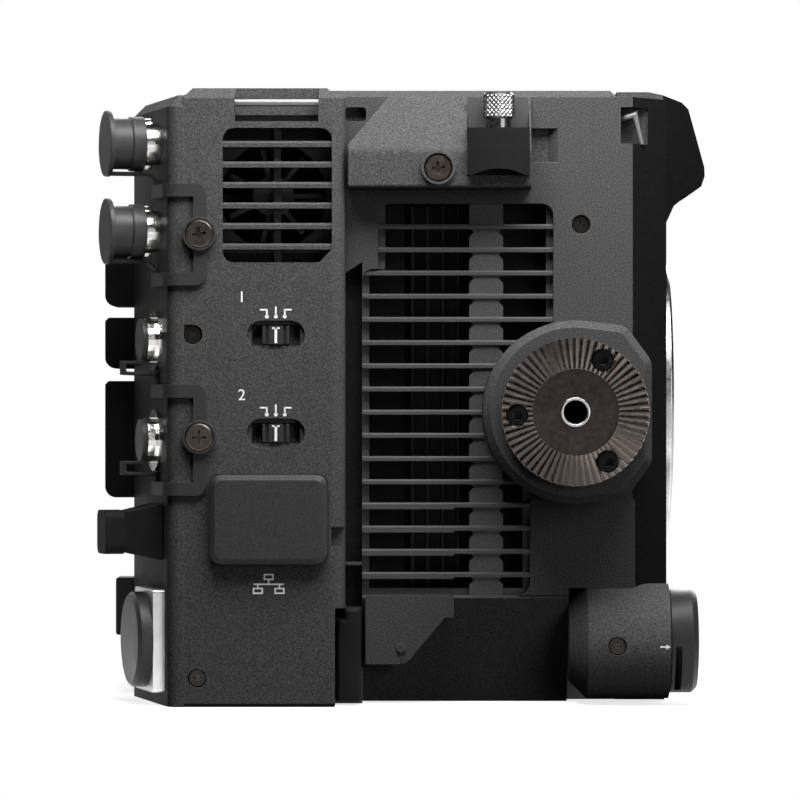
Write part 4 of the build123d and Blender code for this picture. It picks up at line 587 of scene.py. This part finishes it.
def cross_head(mesh, x, z, front, back, radius, turn):
    def ring(share, y):
        return [mesh.verts.new((x + u, y, z + v)) for u, v in circle(SCREW_SIDES, share * radius)]

    arm, half = CROSS_ARM * radius, CROSS_HALF * radius
    corners = [
        (u * cos(t) - v * sin(t), u * sin(t) + v * cos(t))
        for t in (turn + quarter * pi / 2 for quarter in range(4))
        for u, v in ((arm, -half), (arm, half), (half, half))
    ]
    rim = ring(1, front + RIM_DROP * radius)
    crown = ring(CROWN, front)
    foot = ring(1, back)
    mouth = [mesh.verts.new((x + u, front, z + v)) for u, v in corners]
    depth = front + CROSS_DEPTH * radius
    floor = [
        mesh.verts.new((x + CROSS_TAPER * u, depth, z + CROSS_TAPER * v)) for u, v in corners
    ]
    skin(mesh, [foot, rim, crown])
    skin(mesh, [mouth, floor])
    mesh.faces.new(foot)
    mesh.faces.new(floor)
    edges = loop_edges(mesh, crown) + loop_edges(mesh, mouth)
    bmesh.ops.triangle_fill(mesh, use_beauty=True, edges=edges)


def case_screw_heads():
    """The large heads are bronze, the small ones black."""
    turns = random.Random(SCREW_SEED)
    mesh = bmesh.new()
    for low, high in lumps("case_screws"):
        centre = (low + high) / 2
        radius = (high.x - low.x) / 2
        others = set(mesh.faces)
        turn = turns.uniform(0, LARGEST_TURN)
        cross_head(mesh, centre.x, centre.z, low.y, high.y, radius, turn)
        for face in set(mesh.faces) - others:
            face.material_index = int(radius < SMALL_SCREW)
    piece = add_mesh("case_screw_heads", mesh, "bronze_steel", smooth=False)
    piece.data.materials.append(materials["screw_black"])
    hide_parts("case_screws")


case_screw_heads()


# Thumb screw with a diamond knurl: two sets of helices cut into a cylinder
KNURL_SIDES, KNURL_ROWS = 168, 32
KNURL_HELICES, KNURL_LEAD, KNURL_DEPTH = 21, 1.05, 0.24
NECK_RADIUS = 1.45
COLLAR_RADIUS, COLLAR_GAP, COLLAR_TOP = 2.7, 0.05, 2.0
KNOB_FOOT_INSET, KNOB_TOP_INSET = 0.55, 0.6
KNOB_ROUND, KNOB_ROUND_HEIGHT, KNURL_MARGIN = 0.2, 0.4, 0.5
DIMPLE_RADIUS, DIMPLE_FLOOR_RADIUS, DIMPLE_DEPTH = 1.6, 1.4, 0.35


def knurled_knob():
    low, high = corners_of("knurled_screw")
    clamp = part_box("video_clamp")[1][2] / MM
    x, y = (low.x + high.x) / 2, (low.y + high.y) / 2
    radius = (high.x - low.x) / 2
    collar, foot, top = clamp + COLLAR_GAP, clamp + COLLAR_TOP, high.z
    mesh = bmesh.new()

    def ring(r, z, knurl=0.0):
        found = []
        for i in range(KNURL_SIDES):
            turn = 2 * pi * i / KNURL_SIDES
            a = (KNURL_HELICES * i / KNURL_SIDES + z / KNURL_LEAD) % 1
            b = (KNURL_HELICES * i / KNURL_SIDES - z / KNURL_LEAD) % 1
            rise = min(1 - abs(2 * a - 1), 1 - abs(2 * b - 1))
            reach = r - knurl * (1 - rise)
            found.append(mesh.verts.new((x + reach * cos(turn), y + reach * sin(turn), z)))
        return found

    first, last = foot + KNURL_MARGIN, top - KNURL_MARGIN
    rings = [ring(NECK_RADIUS, low.z), ring(NECK_RADIUS, collar)]
    rings += [ring(COLLAR_RADIUS, collar), ring(COLLAR_RADIUS, foot)]
    rings += [ring(radius - KNOB_FOOT_INSET, foot)]
    rings += [ring(radius - KNOB_ROUND, foot + KNOB_ROUND_HEIGHT)]
    for row in range(KNURL_ROWS + 1):
        rings.append(ring(radius, first + (last - first) * row / KNURL_ROWS, KNURL_DEPTH))
    rings += [ring(radius - KNOB_ROUND, top - KNOB_ROUND_HEIGHT)]
    rings += [ring(radius - KNOB_TOP_INSET, top), ring(DIMPLE_RADIUS, top)]
    rings += [ring(DIMPLE_FLOOR_RADIUS, top - DIMPLE_DEPTH)]
    skin(mesh, rings)
    cap_ends(mesh, rings)
    piece = add_mesh("knurled_knob", mesh, "black_steel", "thumb_screw", "knurl_steel", False)
    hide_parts("knurled_screw")


knurled_knob()


# Rubber straps of the caps that pull off along the terminals' slope, copied from their nodes with
# rounder edges
STRAP_BEVEL, STRAP_SEGMENTS, STRAP_ANGLE = 0.25, 3, 20.0


def strap(node):
    source = frame["nodes"][node]
    piece = new_object(f"{node}_rubber", source.data.copy())
    # A lighter copy of the rubber, painted light
    dress(piece, "rubber", "strap_lit_rubber")
    round_edges(piece, STRAP_BEVEL, STRAP_SEGMENTS, STRAP_ANGLE)
    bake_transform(piece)
    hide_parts(node)


for number in (1, 2):
    strap(f"bnc_strap_{number}")
    strap(f"xlr_strap_{number}")


# Steel ring round the rosette's thread
RING_SIDES = 64
RING_INNER, RING_OUTER = 2.62, 3.15
RING_RISE, RING_DEPTH, RING_CHAMFER = 0.16, 0.5, 0.08


def thread_ring():
    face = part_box("rosette_screws")[0][1] / MM
    profile = (
        (RING_INNER, face + RING_DEPTH),
        (RING_INNER, face - RING_RISE / 2),
        (RING_INNER + RING_CHAMFER, face - RING_RISE),
        (RING_OUTER - RING_CHAMFER, face - RING_RISE),
        (RING_OUTER, face - RING_RISE / 2),
        (RING_OUTER, face + RING_DEPTH),
    )
    mesh = bmesh.new()
    rings = [
        [mesh.verts.new((ROSETTE_X + u, y, ROSETTE_Z + v)) for u, v in circle(RING_SIDES, radius)]
        for radius, y in profile
    ]
    skin(mesh, rings + rings[:1])
    add_mesh("thread_ring", mesh, "mount_steel")


thread_ring()


# Arrow on the knob housing, beside its screw
ARROW_X, ARROW_Z = 56.6, 13.1
ARROW_NECK, ARROW_TIP = 1.3, 2.3
ARROW_HALF_LINE, ARROW_HALF_HEAD = 0.16, 0.55
ARROW_SINK = 0.04


def housing_arrow():
    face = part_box("knob_housing")[0][1] / MM + ARROW_SINK
    neck, tip = ARROW_X + ARROW_NECK, ARROW_X + ARROW_TIP
    mesh = bmesh.new()
    side_bar(mesh, ARROW_X, ARROW_Z - ARROW_HALF_LINE, neck, ARROW_Z + ARROW_HALF_LINE, face)
    low, high = ARROW_Z - ARROW_HALF_HEAD, ARROW_Z + ARROW_HALF_HEAD
    prism(mesh, [(neck, face, low), (tip, face, ARROW_Z), (neck, face, high)], (0, -PRINT_RISE, 0))
    print_mark("housing_arrow", mesh)


# Index groove of the lock ring: a dark band over part of its turn, in degrees; the band's black is
# painted shade in place of a cut groove
GROOVE_FROM, GROOVE_SPAN, GROOVE_STEPS = 183, 64, 24
GROOVE_LEFT, GROOVE_RIGHT = 0.9, 2.3
GROOVE_SINK, GROOVE_RISE = 0.2, 0.02


def ring_index():
    low, high = corners_of("front_knob")
    y, z, radius = (low.y + high.y) / 2, (low.z + high.z) / 2, (high.z - low.z) / 2
    left, right = low.x + GROOVE_LEFT, low.x + GROOVE_RIGHT
    inner, outer = radius - GROOVE_SINK, radius + GROOVE_RISE
    section = ((left, inner), (left, outer), (right, outer), (right, inner))
    mesh = bmesh.new()
    rows = []
    for step in range(GROOVE_STEPS + 1):
        turn = radians(GROOVE_FROM + GROOVE_SPAN * step / GROOVE_STEPS)
        rows.append(
            [mesh.verts.new((x, y + r * cos(turn), z + r * sin(turn))) for x, r in section]
        )
    skin(mesh, rows)
    cap_ends(mesh, rows)
    add_mesh("ring_index", mesh, "rubber", "lock_ring", "deep_black")


housing_arrow()
ring_index()


# Pale plate behind the thumb screw
PLATE_SIDE_MARGIN, PLATE_TOP_MARGIN, PLATE_FOOT_GAP = 0.1, 0.2, 0.05
PLATE_THICKNESS, PLATE_SINK = 0.5, 0.02


def clamp_plate():
    low, high = corners_of("video_clamp")
    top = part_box("clamp_housing")[1][2] / MM - PLATE_TOP_MARGIN
    foot, face = high.z + PLATE_FOOT_GAP, high.y - PLATE_SINK
    left, right = low.x + PLATE_SIDE_MARGIN, high.x - PLATE_SIDE_MARGIN
    outline = [(left, face, foot), (right, face, foot), (right, face, top), (left, face, top)]
    mesh = bmesh.new()
    prism(mesh, outline, (0, -PLATE_THICKNESS, 0))
    add_mesh("clamp_plate", mesh, "shell", look="plate_grey", smooth=False)


clamp_plate()


# Camera, at the photograph's angle
camera_data = bpy.data.cameras.new("view")
camera_data.sensor_width = SENSOR_WIDTH
camera_data.lens = SENSOR_WIDTH * CAMERA_DISTANCE / MM / (IMAGE_WIDTH / PIXELS_PER_MM)
camera_data.clip_start = NEAR_CLIP
view = new_object("view", camera_data)
view.location = (0, SIDE_Y * MM - CAMERA_DISTANCE, VIEW_HEIGHT)
view.rotation_euler = (pi / 2, 0, 0)
bpy.context.scene.camera = view

# Lamps, in metres: place, target, size, power
LAMPS = {
    "overhead": ((0.04, -0.14, 0.265), (0.025, -0.08, 0.05), (0.26, 0.12), 1.75),
    "right": ((0.3, -0.42, 0.12), (0.03, -0.06, 0.05), (0.25, 0.25), 0.65),
    "left_back": ((-0.5, 0.5, 0.4), (-0.04, 0.0, 0.07), (0.4, 0.4), 0.9),
    "left": ((0.15, 0.7, 0.4), (0.0, 0.0, 0.07), (0.5, 0.4), 5.0),
}


def area_light(name, place, target, size, power):
    data = bpy.data.lights.new(name, "AREA")
    data.shape = "RECTANGLE"
    data.size, data.size_y = size
    data.energy = power
    lamp = new_object(name, data)
    lamp.location = place
    aim = Vector(target) - Vector(place)
    lamp.rotation_euler = aim.to_track_quat("-Z", "Y").to_euler()


for lamp_name, lamp in LAMPS.items():
    area_light(lamp_name, *lamp)


# Pale floor and background
WHITE = (1, 1, 1, 1)
AMBIENT = 0.04
FLOOR_REACH, FLOOR_Z = 3000.0, -0.05
FLOOR_SHADE, FLOOR_GLOW = 0.8, 0.75
FLOOR_BOUNCE = 0.04
# Distances from the origin between which the lit floor turns into the white background
FADE_FROM, FADE_TO = 90, 200
CARD_SIDE, CARD_BACK, CARD_FRONT, CARD_TOP = 1400.0, 3500.0, -1500.0, 1400.0
FELT_SHADE = 0.02


def grey(level):
    return (level, level, level, 1)


def emission(tree, strength):
    node = tree.nodes.new("ShaderNodeEmission")
    node.inputs["Color"].default_value = WHITE
    node.inputs["Strength"].default_value = strength
    return node.outputs[0]


def diffuse(tree, level):
    node = tree.nodes.new("ShaderNodeBsdfDiffuse")
    node.inputs["Color"].default_value = grey(level)
    return node.outputs[0]


def mix_shaders(tree, factor, first, second):
    node = tree.nodes.new("ShaderNodeMixShader")
    for socket, value in zip(node.inputs, (factor, first, second)):
        tree.links.new(value, socket)
    return node.outputs[0]


def seen_directly(tree):
    """One for camera, mirror and see-through rays, zero for the light that falls on the object."""
    path = tree.nodes.new("ShaderNodeLightPath")
    total = path.outputs["Is Camera Ray"]
    for ray in ("Is Glossy Ray", "Is Transmission Ray"):
        larger = tree.nodes.new("ShaderNodeMath")
        larger.operation = "MAXIMUM"
        tree.links.new(total, larger.inputs[0])
        tree.links.new(path.outputs[ray], larger.inputs[1])
        total = larger.outputs[0]
    return total


def pale_world():
    world = bpy.data.worlds.new("studio")
    bpy.context.scene.world = world
    world.use_nodes = True
    tree = world.node_tree
    shown = tree.nodes["Background"]
    lighting = tree.nodes.new("ShaderNodeBackground")
    for background, strength in ((shown, 1.0), (lighting, AMBIENT)):
        background.inputs["Color"].default_value = WHITE
        background.inputs["Strength"].default_value = strength
    mix = mix_shaders(tree, seen_directly(tree), lighting.outputs[0], shown.outputs[0])
    tree.links.new(mix, tree.nodes["World Output"].inputs["Surface"])


def stage_sheets(name, material_name, sheets):
    """Flat sheets of the set; returns the piece, its material's tree and the output's socket."""
    mesh = bmesh.new()
    for sheet in sheets:
        mesh.faces.new([mesh.verts.new(corner) for corner in sheet])
    data = mesh_data(name, mesh)
    piece = new_object(name, data)
    material = bpy.data.materials.new(material_name)
    material.use_nodes = True
    material.node_tree.nodes.clear()
    data.materials.append(material)
    output = material.node_tree.nodes.new("ShaderNodeOutputMaterial")
    return piece, material.node_tree, output.inputs["Surface"]


def pale_floor():
    ways = ((-1, -1), (1, -1), (1, 1), (-1, 1))
    sheet = [(FLOOR_REACH * x, FLOOR_REACH * y, FLOOR_Z) for x, y in ways]
    floor, tree, surface = stage_sheets("floor", "floor", [sheet])
    lit = tree.nodes.new("ShaderNodeAddShader")
    tree.links.new(diffuse(tree, FLOOR_SHADE), lit.inputs[0])
    tree.links.new(emission(tree, FLOOR_GLOW), lit.inputs[1])
    coords = tree.nodes.new("ShaderNodeTexCoord")
    away = tree.nodes.new("ShaderNodeVectorMath")
    away.operation = "LENGTH"
    tree.links.new(coords.outputs["Object"], away.inputs[0])
    far = remap(tree, away.outputs["Value"], (FADE_FROM * MM, FADE_TO * MM), (0.0, 1.0))
    far.node.interpolation_type = "SMOOTHSTEP"
    shown = mix_shaders(tree, far, lit.outputs[0], emission(tree, 1.0))
    bounce = diffuse(tree, FLOOR_BOUNCE)
    tree.links.new(mix_shaders(tree, seen_directly(tree), bounce, shown), surface)


def dark_cards():
    """Black felt round the set, which mirrors see and the camera doesn't."""
    side, back, front, top = CARD_SIDE, CARD_BACK, CARD_FRONT, CARD_TOP
    walls = [
        [(-side, front, 0), (-side, back, 0), (-side, back, top), (-side, front, top)],
        [(side, front, 0), (side, back, 0), (side, back, top), (side, front, top)],
        [(-side, front, 0), (side, front, 0), (side, front, top), (-side, front, top)],
        [(-side, front, top), (side, front, top), (side, back, top), (-side, back, top)],
    ]
    cards, tree, surface = stage_sheets("dark_cards", "felt", walls)
    clear = tree.nodes.new("ShaderNodeBsdfTransparent")
    path = tree.nodes.new("ShaderNodeLightPath")
    felt = diffuse(tree, FELT_SHADE)
    mix = mix_shaders(tree, path.outputs["Is Camera Ray"], felt, clear.outputs[0])
    tree.links.new(mix, surface)


pale_world()
pale_floor()
dark_cards()
bpy.context.scene.view_settings.view_transform = "Standard"
